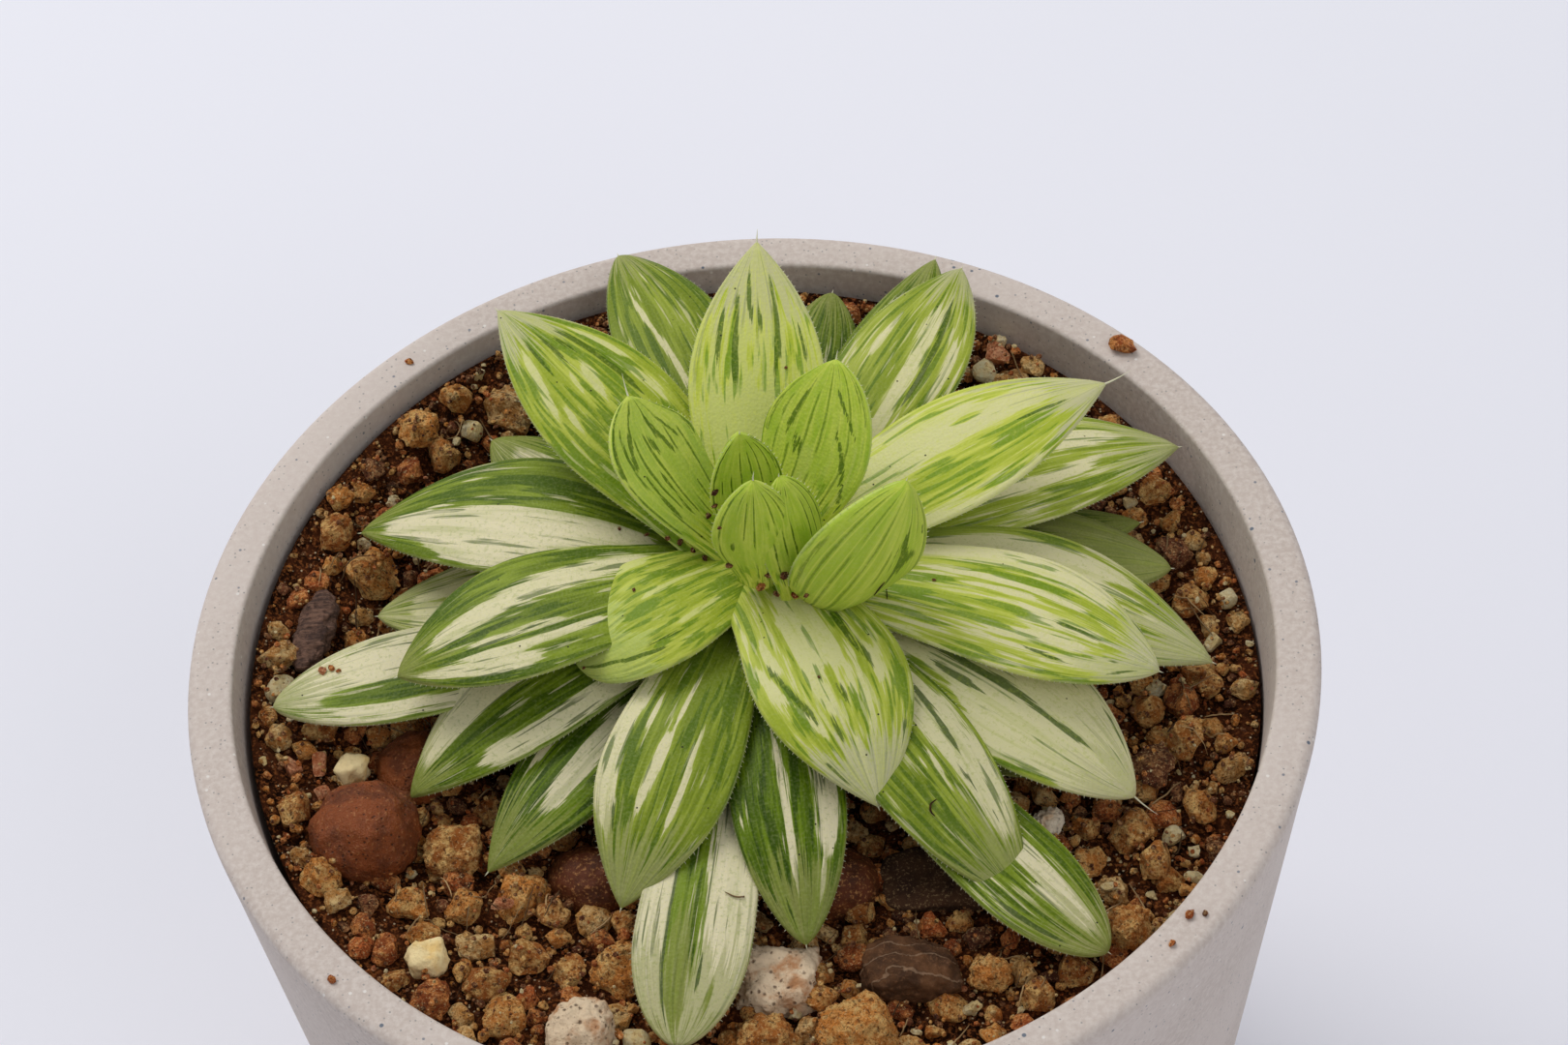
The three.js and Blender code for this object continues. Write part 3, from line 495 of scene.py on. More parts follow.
def tone(code):
    """A colour written as six hexadecimal digits, in the linear light that shaders take."""
    parts = [int(code[i:i + 2], 16) / 255 for i in (0, 2, 4)]
    return [p / 12.92 if p <= 0.04045 else ((p + 0.055) / 1.055) ** 2.4 for p in parts] + [1]


class Build:
    """Points, faces and values at the points, gathered into one mesh."""

    def __init__(self):
        self.points = []
        self.faces = {3: [], 4: []}
        self.values = {}
        self.count = 0

    def add(self, points, *faces, **values):
        points = np.asarray(points, float).reshape(-1, 3)
        for part in faces:
            self.faces[part.shape[1]].append(part + self.count)
        for key, value in values.items():
            given = np.broadcast_to(np.ravel(np.asarray(value, float)), (len(points),))
            self.values.setdefault(key, []).append(given)
        self.points.append(points)
        self.count += len(points)

    def mesh(self, name):
        points = np.concatenate(self.points)
        parts = [np.concatenate(part) for part in self.faces.values() if part]
        corners = np.concatenate([part.ravel() for part in parts]).astype(np.int32)
        sizes = np.concatenate([np.full(len(part), part.shape[1]) for part in parts])
        mesh = bpy.data.meshes.new(name)
        mesh.vertices.add(len(points))
        mesh.vertices.foreach_set("co", (points * MM).astype(np.float32).ravel())
        mesh.loops.add(len(corners))
        mesh.loops.foreach_set("vertex_index", corners)
        mesh.polygons.add(len(sizes))
        mesh.polygons.foreach_set("loop_start", (np.cumsum(sizes) - sizes).astype(np.int32))
        values = {key: np.concatenate(value) for key, value in self.values.items()}
        if "u" in values:
            places = np.stack([values.pop("u"), values.pop("v")], axis=1)
            layer = mesh.uv_layers.new(name="UVMap")
            layer.data.foreach_set("uv", places[corners].astype(np.float32).ravel())
        for key, value in values.items():
            layer = mesh.attributes.new(key, "FLOAT", "POINT")
            layer.data.foreach_set("value", value.astype(np.float32))
        mesh.update(calc_edges=True)
        mesh.shade_smooth()
        return mesh


def place(name, mesh, material, slot, *nodes):
    """The mesh as a piece of the object, which stands for the CAD nodes that are named."""
    piece = link(name, mesh)
    mesh.materials.append(material)
    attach(piece, BODY)
    if nodes:
        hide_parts(*nodes)


def ring_faces(rings, sides):
    """Quads between rings of points, each ring with as many sides."""
    ring = np.arange(rings - 1)[:, None] * sides
    side = np.arange(sides)[None, :]
    after = (side + 1) % sides
    quads = np.stack([ring + side, ring + after, ring + sides + after, ring + sides + side], axis=-1)
    return quads.reshape(-1, 4)


def fan_faces(sides, hub, flip):
    """Triangles from a middle point to a ring of points that starts at 0."""
    side = np.arange(sides)
    after = (side + 1) % sides
    corners = (after, side) if flip else (side, after)
    return np.stack([np.full(sides, hub), *corners], axis=-1)


def tube(build, path, aside, over, radii, sides, **values):
    """A tube round a path, with the two directions across it and its radius at every point."""
    cosines, sines = around(sides)
    ring = cosines[:, None] * aside[..., None, :] + sines[:, None] * over[..., None, :]
    build.add(path[:, None] + radii[:, None, None] * ring, ring_faces(len(path), sides), **values)


class Look:
    """A material whose nodes are made by short calls. A colour is a socket or six hexadecimal digits."""

    def __init__(self, name):
        self.material = bpy.data.materials.new(name)
        self.material.use_nodes = True
        self.tree = self.material.node_tree
        self.shader = self.tree.nodes["Principled BSDF"]
        inputs = {0: self.node("TexCoord", "Object", {}), "Scale": 1 / MM}
        self.place = self.node("VectorMath", 0, inputs, operation="SCALE")

    def feed(self, socket, value):
        if isinstance(value, bpy.types.NodeSocket):
            self.tree.links.new(value, socket)
        else:
            socket.default_value = tone(value) if isinstance(value, str) else value

    def node(self, kind, output, inputs, **settings):
        node = self.tree.nodes.new("ShaderNode" + kind)
        for key, value in settings.items():
            setattr(node, key, value)
        for key, value in inputs.items():
            self.feed(node.inputs[key], value)
        return node.outputs[output]

    def done(self, colour, roughness, normal=None, specular=0.5, **others):
        """Feeds the shader's inputs, the others named with _ for a space, and gives the material."""
        inputs = {"Base Color": colour, "Roughness": roughness, "Specular IOR Level": specular}
        if normal is not None:
            inputs["Normal"] = normal
        inputs.update({key.replace("_", " "): value for key, value in others.items()})
        for key, value in inputs.items():
            self.feed(self.shader.inputs[key], value)
        return self.material

    def math(self, operation, *values):
        return self.node("Math", 0, dict(enumerate(values)), operation=operation)

    def sum(self, first, *others):
        for other in others:
            first = self.math("ADD", first, other)
        return first

    def product(self, first, *others):
        for other in others:
            first = self.math("MULTIPLY", first, other)
        return first

    def swing(self, noise, breadth):
        """Noise about 0 in place of about a half."""
        return self.product(self.math("SUBTRACT", noise, 0.5), breadth)

    def apart(self, first, second):
        """How far two values lie from each other."""
        return self.math("ABSOLUTE", self.math("SUBTRACT", first, second))

    def value(self, name):
        return self.node("Attribute", "Fac", {}, attribute_name=name)

    def step(self, value, low, high, start=0, end=1):
        """Goes smoothly from start to end as the value goes from low to high."""
        inputs = {"Value": value, "From Min": low, "From Max": high, "To Min": start, "To Max": end}
        return self.node("MapRange", 0, inputs, interpolation_type="SMOOTHSTEP")

    def mix(self, share, first, second):
        return self.node("Mix", 2, {0: share, 6: first, 7: second}, data_type="RGBA")

    def paint(self, under, over, value, low, high, most=1):
        """Lays one colour over another, from none of it to the most as the value goes from low to high."""
        return self.mix(self.step(value, low, high, 0, most), under, over)

    def hollow(self, colour, deep, pits, share):
        """Lays the deep colour where the pits are, which is where their value is low."""
        return self.mix(self.product(self.math("SUBTRACT", 1, pits), share), colour, deep)

    def noise(self, scale, detail=3, roughness=0.5, place=None):
        inputs = {"Scale": scale, "Detail": detail, "Roughness": roughness}
        return self.node("TexNoise", 0, {"Vector": place or self.place, **inputs})

    def cells(self, scale, output="Distance"):
        return self.node("TexVoronoi", output, {"Vector": self.place, "Scale": scale})

    def spots(self, scale, outer, inner, chosen):
        """Dots in those of the cells whose own random value is over the chosen one."""
        own = self.node("SeparateColor", 0, {0: self.cells(scale, "Color")})
        kept = self.math("GREATER_THAN", own, chosen)
        return self.product(self.step(self.cells(scale), outer, inner), kept)

    def sprinkle(self, colour, *kinds):
        """Lays dots of each kind: the scale, the size, the chosen value and the colour."""
        for scale, size, chosen, code in kinds:
            colour = self.mix(self.spots(scale, size, size * 0.6, chosen), colour, code)
        return colour

    def bump(self, height, distance, strength=1, under=None):
        inputs = {"Height": height, "Distance": distance * MM, "Strength": strength}
        return self.node("Bump", 0, {**inputs, "Normal": under} if under else inputs)


# Pot

def bank_height(x, y):
    share = np.maximum(0, (np.hypot(x, y) - BANK_RADIUS) / (SOIL_EDGE_RADIUS - BANK_RADIUS))
    return share * (BANK_HEIGHT + BANK_SWING * np.cos(np.arctan2(y, x) - BANK_TURN))


def arc(x, y, radius, start, end, steps):
    angles = np.radians(np.linspace(start, end, steps + 1))
    return np.stack([x + radius * np.cos(angles), y + radius * np.sin(angles)], axis=1)


def line(first, last, steps):
    """Points from first up to, but not with, last."""
    share = np.arange(steps)[:, None] / steps
    return np.asarray(first, float) * (1 - share) + np.asarray(last, float) * share


def on_wall(radius, depth):
    """The place so deep below the rim on the straight wall that has this radius at the rim."""
    return radius - TAPER * depth, POT_HEIGHT - depth


def pot_mesh():
    slope = math.degrees(math.atan(TAPER))
    inner_foot = on_wall(INNER_RIM_RADIUS, POT_HEIGHT - FLOOR)
    outline = np.concatenate([
        line((DRAIN_RADIUS, 0), (FOOT_RADIUS - FOOT_ROUND, 0), 6),
        arc(FOOT_RADIUS - FOOT_ROUND, FOOT_ROUND, FOOT_ROUND, -90, -slope, 5),
        line((FOOT_RADIUS + TAPER * WALL_START, WALL_START), on_wall(RIM_RADIUS, WALL_END), 24),
        arc(RIM_RADIUS - RIM_ROUND, POT_HEIGHT - RIM_ROUND, RIM_ROUND, -slope, 90, 8),
        arc(INNER_RIM_RADIUS + INNER_ROUND, POT_HEIGHT - INNER_ROUND, INNER_ROUND, 90, 180, 5),
        line(on_wall(INNER_RIM_RADIUS, INNER_WALL_END), inner_foot, 20),
        line(inner_foot, (DRAIN_RADIUS, FLOOR), 6),
        line((DRAIN_RADIUS, FLOOR), (DRAIN_RADIUS, 0), 3),
    ])
    outline[:, 0] = np.minimum(outline[:, 0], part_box("pot")[1].x / MM)
    radius, height = outline[:, :1], outline[:, 1:]
    cosines, sines = around(POT_SIDES)
    points = np.stack([radius * cosines, radius * sines, height * np.ones(POT_SIDES)], axis=-1)
    build = Build()
    build.add(np.concatenate([points, points[:1]]), ring_faces(len(outline) + 1, POT_SIDES))
    mesh = build.mesh("pot")
    shell = bmesh.new()
    shell.from_mesh(mesh)
    bmesh.ops.remove_doubles(shell, verts=shell.verts, dist=1e-6)
    shell.to_mesh(mesh)
    shell.free()
    mesh.shade_smooth()
    return mesh


def pot_look():
    look = Look("speckled stoneware")
    cloud = look.noise(0.05, 4)
    fine = look.noise(1.6, 5, 0.65)
    base = look.paint("c0b2a9", "cbbeb6", cloud, 0.35, 0.65)
    base = look.paint(base, "d3c8c0", fine, 0.35, 0.7)
    base = look.sprinkle(
        base, (0.9, 0.17, 0.86, "85868c"), (0.5, 0.13, 0.86, "68707c"),
        (2.1, 0.26, 0.78, "9d9894"), (0.8, 0.16, 0.84, "e0dad4"),
    )
    pits = look.step(look.cells(1.3), 0.05, 0.16)
    grain = look.sum(look.product(fine, 0.7), look.product(pits, 0.5))
    return look.done(base, look.step(fine, 0.3, 0.7, 0.55, 0.75), look.bump(grain, 0.08, 0.6), 0.3)


# Leaves

def leaf_spine(leaf, along):
    """Points on the leaf's middle line, with the directions forward, across to the left, and up."""
    turn = math.radians(leaf["turn"])
    out = np.array([math.cos(turn), math.sin(turn), 0])
    left = np.array([-math.sin(turn), math.cos(turn), 0])
    axis = np.array([STEM_X + STEM_LEAN * leaf["base"], STEM_Y, SOIL_TOP + leaf["base"]])
    start = axis + leaf["root"] * out
    end = axis + leaf["reach"] * out
    end[2] = SOIL_TOP + leaf["tip"]
    bend = start + leaf["lean"] * (end - start) + 2 * leaf["sway"] * left
    bend[2] += 2 * leaf["arch"]
    share = along[:, None]
    middle = (1 - share) ** 2 * start + 2 * share * (1 - share) * bend + share ** 2 * end
    forward = unit((1 - share) * (bend - start) + share * (end - bend))
    level = unit(left - (forward @ left)[:, None] * forward)
    roll = math.radians(leaf["roll"])
    across = math.cos(roll) * level + math.sin(roll) * np.cross(forward, level)
    return middle, forward, across, np.cross(forward, across)


def leaf_outline(leaf, along):
    widest = leaf["widest"]
    near = leaf["neck"] + (1 - leaf["neck"]) * smooth(along, 0, widest)
    share = np.clip((along - widest) / (1 - widest), 0, 1)
    return np.where(along < widest, near, (1 - share * share) ** leaf["blunt"])


def leaf_form(leaf, along, side, above):
    """The skin's points at every station along, and every place across on the upper or lower face."""
    middle, _, across, up = leaf_spine(leaf, along)
    outline = leaf_outline(leaf, along)[:, None]
    half = np.maximum(FINE_TIP, leaf["width"] / 2 * outline)
    edge = np.minimum(BLADE_EDGE / 2, EDGE_SHARE * half)
    flesh = leaf["width"] * outline ** FLESH_POWER
    crown = CROWN_SHARE * flesh - leaf["cup"] * outline
    keel = KEEL_SHARE * flesh
    off = np.clip((np.abs(side) - (1 - edge / half)) * half / edge, 0, 1)
    lift = edge * np.sqrt(1 - off * off)
    top = lift + crown * (1 - side * side)
    bottom = -lift - keel * (1 - np.abs(side) ** KEEL_POWER)
    height = np.where(above, top, bottom)
    breadth = half * side
    return middle[:, None] + breadth[..., None] * across[:, None] + height[..., None] * up[:, None]


def leaf_fields(bands, ground, side, along):
    """How cream and how dark each point is: over 0 it is so, more surely the further it is from 0."""
    cream = np.full(np.broadcast(side, along).shape, float(ground))
    dark = np.full(cream.shape, -2.0)
    for colour, *hundredths in bands:
        start, end, first, last, half = (number / 100 for number in hundredths)
        middle = first + (last - first) * (along - start) / (end - start)
        breadth = np.clip((half - np.abs(side - middle)) / min(half, BAND_SOFT), -3, 1)
        ends = np.clip(np.minimum(along - start, end - along) / BAND_ENDS, -2, 1)
        depth = breadth + ends - 1
        if colour == DARK:
            dark = np.maximum(dark, depth)
        elif colour == CREAM:
            cream = np.maximum(cream, BAND_PUSH * depth)
        else:
            cream = np.minimum(cream, -BAND_PUSH * depth)
    return cream, dark


def spike(build, start, direction, length, radius, values, sides=3, steps=1, curl=0):
    """A thin tapering hair from start, which curls up as it goes."""
    direction = unit(direction)
    aside = unit(np.cross(direction, [0.3, 0.2, 1]))
    over = np.cross(aside, direction)
    share = np.linspace(0, 1, steps + 1)
    middle = start + length * share[:, None] * direction + curl * length * share[:, None] ** 2 * over
    tube(build, middle, aside, over, radius * (1 - 0.9 * share), sides, **values)


def add_skin(build, leaf, shared):
    along = np.sin(np.pi / 2 * np.arange(LEAF_STEPS + 1) / LEAF_STEPS)
    evenly = 1 - 2 * np.arange(UPPER_STEPS + 1) / UPPER_STEPS
    upper = np.sin(MARGIN_CROWDING * evenly) / math.sin(MARGIN_CROWDING)
    lower = -np.cos(np.pi * np.arange(1, LOWER_STEPS) / LOWER_STEPS)
    side = np.concatenate([upper, lower])
    sides = len(side)
    points = leaf_form(leaf, along, side, np.arange(sides) <= UPPER_STEPS)
    across = np.broadcast_to(side, points.shape[:2])
    far = np.broadcast_to(along[:, None], points.shape[:2])
    cream, dark = leaf_fields(LEAF_BANDS.get(leaf["name"], ()), leaf["ground"], across, far)
    build.add(
        points, ring_faces(len(along), sides), fan_faces(sides, 0, True),
        fan_faces(sides, 0, False) + (len(along) - 1) * sides,
        u=0.5 + across / 2, v=far, cream=cream, dark=dark, past=far - leaf["window"], pale=0, **shared,
    )
    return along


def add_bristles(build, leaf, along, random, shared):
    """The bristle at the tip and the teeth along both margins."""
    pale = {"u": 0.5, "v": 0.9, "cream": 0.5, "dark": -2, "past": -1, "pale": 1, **shared}
    middle, forward = leaf_spine(leaf, along)[:2]
    start = middle[-1] - AWN_INSIDE * forward[-1]
    spike(build, start, forward[-1], leaf["awn"] or AWN_USUAL, AWN_RADIUS, pale, 5, 6, AWN_CURL)
    length = np.linalg.norm(np.diff(middle, axis=0), axis=1).sum()
    places = np.linspace(TEETH_FROM, TEETH_TO, int(length / TEETH_APART))
    middle, forward, left = leaf_spine(leaf, places)[:3]
    half = leaf["width"] / 2 * leaf_outline(leaf, places)
    for index in range(len(places)):
        for hand in (-1, 1):
            start = middle[index] + hand * (half[index] - TOOTH_INSIDE) * left[index]
            ahead = hand * left[index] + TOOTH_LEAN * forward[index] + random.normal(0, TOOTH_SWING, 3)
            spike(build, start, ahead, random.uniform(*TOOTH_LENGTHS), TOOTH_RADIUS, pale)


def leaf_mesh(leaf, seed):
    shared = {key: leaf[key] for key in ("age", "yellow", "lines", "grey")}
    shared["seed"] = seed
    build = Build()
    along = add_skin(build, leaf, shared)
    add_bristles(build, leaf, along, np.random.default_rng(TEETH_SEED + seed), shared)
    return build.mesh("leaf_" + leaf["name"])


class LeafLook(Look):
    """The skin of every leaf, drawn from the values that its mesh has at its points."""

    def __init__(self):
        super().__init__("striped leaf")
        spot = self.node("UVMap", 0, {}, uv_map="UVMap")
        self.across = self.node("SeparateXYZ", "X", {0: spot})
        self.along = self.node("SeparateXYZ", "Y", {0: spot})
        self.margin = self.apart(self.across, 0.5)
        self.seed = self.product(self.value("seed"), 7.31)
        self.past = self.value("past")
        self.age = self.value("age")
        self.lines = self.value("lines")
        self.yellow = self.value("yellow")
        self.white = self.mix(self.yellow, "e6dabc", "c8d070")
        self.broad = self.streaks(6, 2.2, 2, 0)
        self.fine = self.streaks(24, 4.6, 2, 3.7)
        self.hair = self.streaks(80, 9, 2, 9.1)
        self.ragged = self.swings(broad=0.5, fine=1.3, hair=0.7)
        self.cream = self.sum(self.value("cream"), self.ragged)

    def streaks(self, crosswise, lengthwise, detail, shift):
        """Noise that runs along the leaf."""
        x, y = self.product(self.across, crosswise), self.product(self.along, lengthwise)
        spot = self.node("CombineXYZ", 0, {0: x, 1: y, 2: self.sum(self.seed, shift)})
        return self.noise(1, detail, 0.6, spot)

    def swings(self, *start, **breadths):
        """The named streaks, each swinging about 0 by its breadth, added to what is given first."""
        return self.sum(*start, *(self.swing(getattr(self, name), breadths[name]) for name in breadths))

    def brushed(self, crosswise, lengthwise, shift, lean):
        """Short strokes, more of them on cream where lean is over 0, and on green where it is under 0."""
        strokes = self.swings(self.streaks(crosswise, lengthwise, 1, shift), hair=0.3)
        return self.sum(strokes, self.product(self.cream, lean))

    def green(self):
        shade = self.sum(self.swings(broad=1, fine=1.2), self.product(self.cream, 0.5))
        # At age 0 both greens are brighter than the heart's own yellow green: painted light, for the light
        # that shines through the young leaves.
        light = self.mix(self.age, "dfe466", "698212")
        return self.paint(self.mix(self.age, "bccb40", "486008"), light, shade, -0.45, 0.1)

    def stripes(self, green):
        """The cream stripes on the green ground, with green and pale strokes in them."""
        colour = self.paint(green, self.white, self.cream, -0.16, 0.2, 0.55)
        colour = self.paint(colour, self.white, self.cream, -0.04, 0.05, 0.75)
        faint = self.swings(self.streaks(13, 3, 2, 15.1), hair=0.25)
        colour = self.paint(colour, green, faint, 0.5, 0.68, 0.3)
        deep = self.mix(self.age, "6e9a1a", "243e04")
        colour = self.paint(colour, deep, self.brushed(19, 4.5, 21.3, -0.13), 0.575, 0.625, 0.7)
        return self.paint(colour, self.white, self.brushed(23, 5.5, 33.1, 0.1), 0.61, 0.67, 0.5)

    def window(self, colour, green):
        """The clear window at the tip."""
        # The clear green of the heart's windows is brightened with painted light, for the light that shines
        # through them.
        clear = self.mix(self.value("grey"), "a9c43e", "c4c09c")
        clear = self.paint(clear, "888c4a", self.age, 0.4, 0.9)
        clear = self.paint(clear, green, self.broad, 0.35, 0.65, 0.35)
        clear = self.paint(clear, self.white, self.cream, -0.1, 0.3, 0.35)
        inside = self.step(self.swings(self.past, fine=0.5, broad=0.3, hair=0.15), -0.02, 0.04)
        return self.mix(self.product(inside, 0.85), colour, clear)

    def marks(self, colour):
        """The window's dark lines with pale ones beside them, the dark strokes, and a hem near the margin."""
        wander = self.swing(self.streaks(2, 1.5, 1, 5.3), 0.9)
        phase = self.sum(self.product(self.across, 7.5), wander, self.seed)
        off = self.apart(self.math("FRACT", phase), 0.5)
        thin = self.step(self.swings(off, hair=0.2, fine=0.1), 0.1, 0.05)
        broken = self.step(self.streaks(7, 3, 1, 1.9), 0.44, 0.5)
        zone = self.step(self.swings(self.past, broad=0.7), -0.14, 0)
        beside = self.step(self.apart(off, 0.2), 0.06, 0.02)
        colour = self.mix(self.product(beside, broken, zone, self.yellow, 0.5), colour, "d6dc62")
        dark = self.mix(self.age, "4c6c08", "284205")
        line = self.product(thin, broken, zone, self.lines, self.step(self.along, 0.985, 0.93))
        colour = self.mix(line, colour, dark)
        stroke = self.sum(self.swings(self.value("dark"), fine=3, hair=2.4), -0.1)
        colour = self.paint(colour, dark, stroke, -0.15, 0.25, 0.85)
        stretch = self.sum(self.along, self.swing(self.streaks(1.5, 3, 1, 7.7), 1.2))
        hem = self.product(
            self.step(self.apart(self.margin, 0.452), 0.022, 0.01), self.step(stretch, 0.6, 0.66),
            self.step(self.along, 0.985, 0.95), self.step(self.hair, 0.42, 0.5), self.lines,
        )
        return self.mix(hem, colour, dark)


def leaf_look():
    look = LeafLook()
    green = look.green()
    colour = look.marks(look.window(look.stripes(green), green))
    fleck = look.noise(3.5, 2)
    colour = look.paint(colour, "c9cf90", fleck, 0.4, 0.8, 0.12)
    colour = look.paint(colour, green, look.noise(2.2, 3, 0.7), 0.46, 0.36, 0.28)
    colour = look.mix(look.spots(0.6, 0.075, 0.04, 0.66), colour, "2b2a1c")
    colour = look.paint(colour, "cfd890", look.margin, 0.488, 0.5, 0.4)
    colour = look.mix(look.value("pale"), colour, "d8d6b4")
    bumps = look.bump(look.ragged, 0.05, 0.5, look.bump(look.cells(3.2), 0.06, 0.6))
    return look.done(
        colour, look.step(fleck, 0.3, 0.7, 0.34, 0.5), bumps, 0.14, IOR=1.42,
        Subsurface_Weight=0.1, Subsurface_Radius=(0.9, 1, 0.2), Subsurface_Scale=0.001,
    )


def root_look():
    look = Look("stem and roots")
    cloud = look.noise(0.6, 5, 0.65)
    stretch = look.node("Mapping", 0, {"Vector": look.place, "Scale": (2.4, 2.4, 0.5)})
    bark = look.noise(1, 5, 0.65, stretch)
    colour = look.paint("8a744c", "b39b6c", cloud, 0.35, 0.65)
    colour = look.paint(colour, "4a3320", bark, 0.5, 0.68, 0.8)
    return look.done(colour, look.step(bark, 0.3, 0.7, 0.6, 0.9), look.bump(bark, 0.3), 0.2)


# Soil

def fractal(points, scale, seed, octaves=4, roughness=0.7):
    """Smooth noise at each of the points, about -1 to 1."""
    shift = Vector((seed * 7.3, seed * 3.1, seed * 5.7))
    places = (Vector(point) * scale + shift for point in points)
    return np.array([noise.fractal(place, roughness, 2.1, octaves) for place in places])


def soil_bed_mesh():
    share = (np.arange(1, BED_RINGS + 1) / BED_RINGS)[:, None]
    cosines, sines = around(BED_SIDES)
    x = SOIL_EDGE_RADIUS * share * cosines
    y = SOIL_EDGE_RADIUS * share * sines
    flat = np.stack([x, y, np.zeros_like(x)], axis=-1).reshape(-1, 3)
    relief = (BED_RELIEF * fractal(flat, BED_SCALE, 1)).reshape(x.shape)
    z = SOIL_TOP + bank_height(x, y) + relief * (share < 1)
    foot_height = FLOOR + GAP
    foot_radius = INNER_RIM_RADIUS - TAPER * (POT_HEIGHT - foot_height) - GAP
    foot = np.stack([foot_radius * cosines, foot_radius * sines, np.full(BED_SIDES, foot_height)], axis=-1)
    top = np.stack([x, y, z], axis=-1).reshape(-1, 3)
    points = np.concatenate([top, foot, [[0, 0, SOIL_TOP], [0, 0, foot_height]]])
    middle = len(points) - 2
    under = fan_faces(BED_SIDES, 0, True) + BED_RINGS * BED_SIDES
    under[:, 0] = middle + 1
    skin = ring_faces(BED_RINGS + 1, BED_SIDES)[:, ::-1]
    build = Build()
    build.add(points, skin, fan_faces(BED_SIDES, middle, False), under)
    return build.mesh("soil_bed")


def soil_look():
    look = Look("humus")
    coarse = look.noise(0.5, 6, 0.65)
    fine = look.noise(2.4, 5, 0.7)
    # Painted shade: the bed goes near black where the coarse relief dips, for the shade in the gaps between
    # the grains; the browns are the humus's own.
    colour = look.paint("1a0b05", "542c18", coarse, 0.35, 0.65)
    colour = look.paint(colour, "94582f", fine, 0.5, 0.62)
    colour = look.sprinkle(
        colour, (0.9, 0.16, 0.4, "a98560"), (1.9, 0.28, 0.6, "6e4023"), (2.3, 0.3, 0.86, "d8c3a0"),
    )
    return look.done(colour, 0.95, look.bump(look.sum(coarse, look.product(fine, 0.6)), 1.1), 0.05)


def lump_shapes(detail, count, facets, near, depth, seed):
    """Unit lumps: balls cut flat on some sides and roughened by noise."""
    shapes = []
    random = np.random.default_rng(seed)
    for index in range(count):
        ball = bmesh.new()
        bmesh.ops.create_icosphere(ball, subdivisions=detail, radius=1)
        points = np.array([vertex.co for vertex in ball.verts])
        faces = np.array([[vertex.index for vertex in face.verts] for face in ball.faces])
        ball.free()
        wave = fractal(points, 1.4, seed + index, 6, 0.8)
        for normal in unit(random.normal(size=(facets, 3))):
            over = np.maximum(points @ normal - random.uniform(near, near + 0.3), 0)
            points = points - over[:, None] * normal
        shapes.append((points * (1 + depth * wave)[:, None], faces))
    return shapes


def cad_grains():
    """Place, height, size, breadth and turn of the grains that the CAD soil has, by its own rule."""
    state = CAD_SEED

    def random():
        nonlocal state
        state = (state * CAD_FACTOR + CAD_ADDED) % CAD_RANGE
        return state / CAD_RANGE

    corners = points_mm(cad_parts["soil"].data)
    grains = []
    for _ in range(CAD_TRIES):
        radius = CAD_SMALLEST + (CAD_LARGEST - CAD_SMALLEST) * random() ** 2
        distance = (SOIL_EDGE_RADIUS - radius * (1 + CAD_ROUGH)) * math.sqrt(random())
        angle = 2 * math.pi * random()
        x, y = distance * math.cos(angle), distance * math.sin(angle)
        breadth = CAD_NARROWEST + (1 - CAD_NARROWEST) * random()
        for _ in range(CAD_CORNERS):
            random()
        turn = 2 * math.pi * random()
        if any(math.hypot(x - at_x, y - at_y) < CAD_CROWDING * (radius + other)
               for at_x, at_y, _, other, *_ in grains):
            continue
        height = SOIL_TOP + bank_height(x, y) + CAD_RISE * radius
        near = corners[np.hypot(corners[:, 0] - x, corners[:, 1] - y) < CAD_NEAR * radius]
        if np.sum(near[:, 2] > height + CAD_SHOWING * radius) >= 2:
            grains.append((x, y, height, radius, breadth, turn))
    return grains


def cells_at(places):
    """The columns and rows of the ground cells nearest to the places."""
    return np.rint((places + RIM_RADIUS) / GROUND_CELL).astype(int)


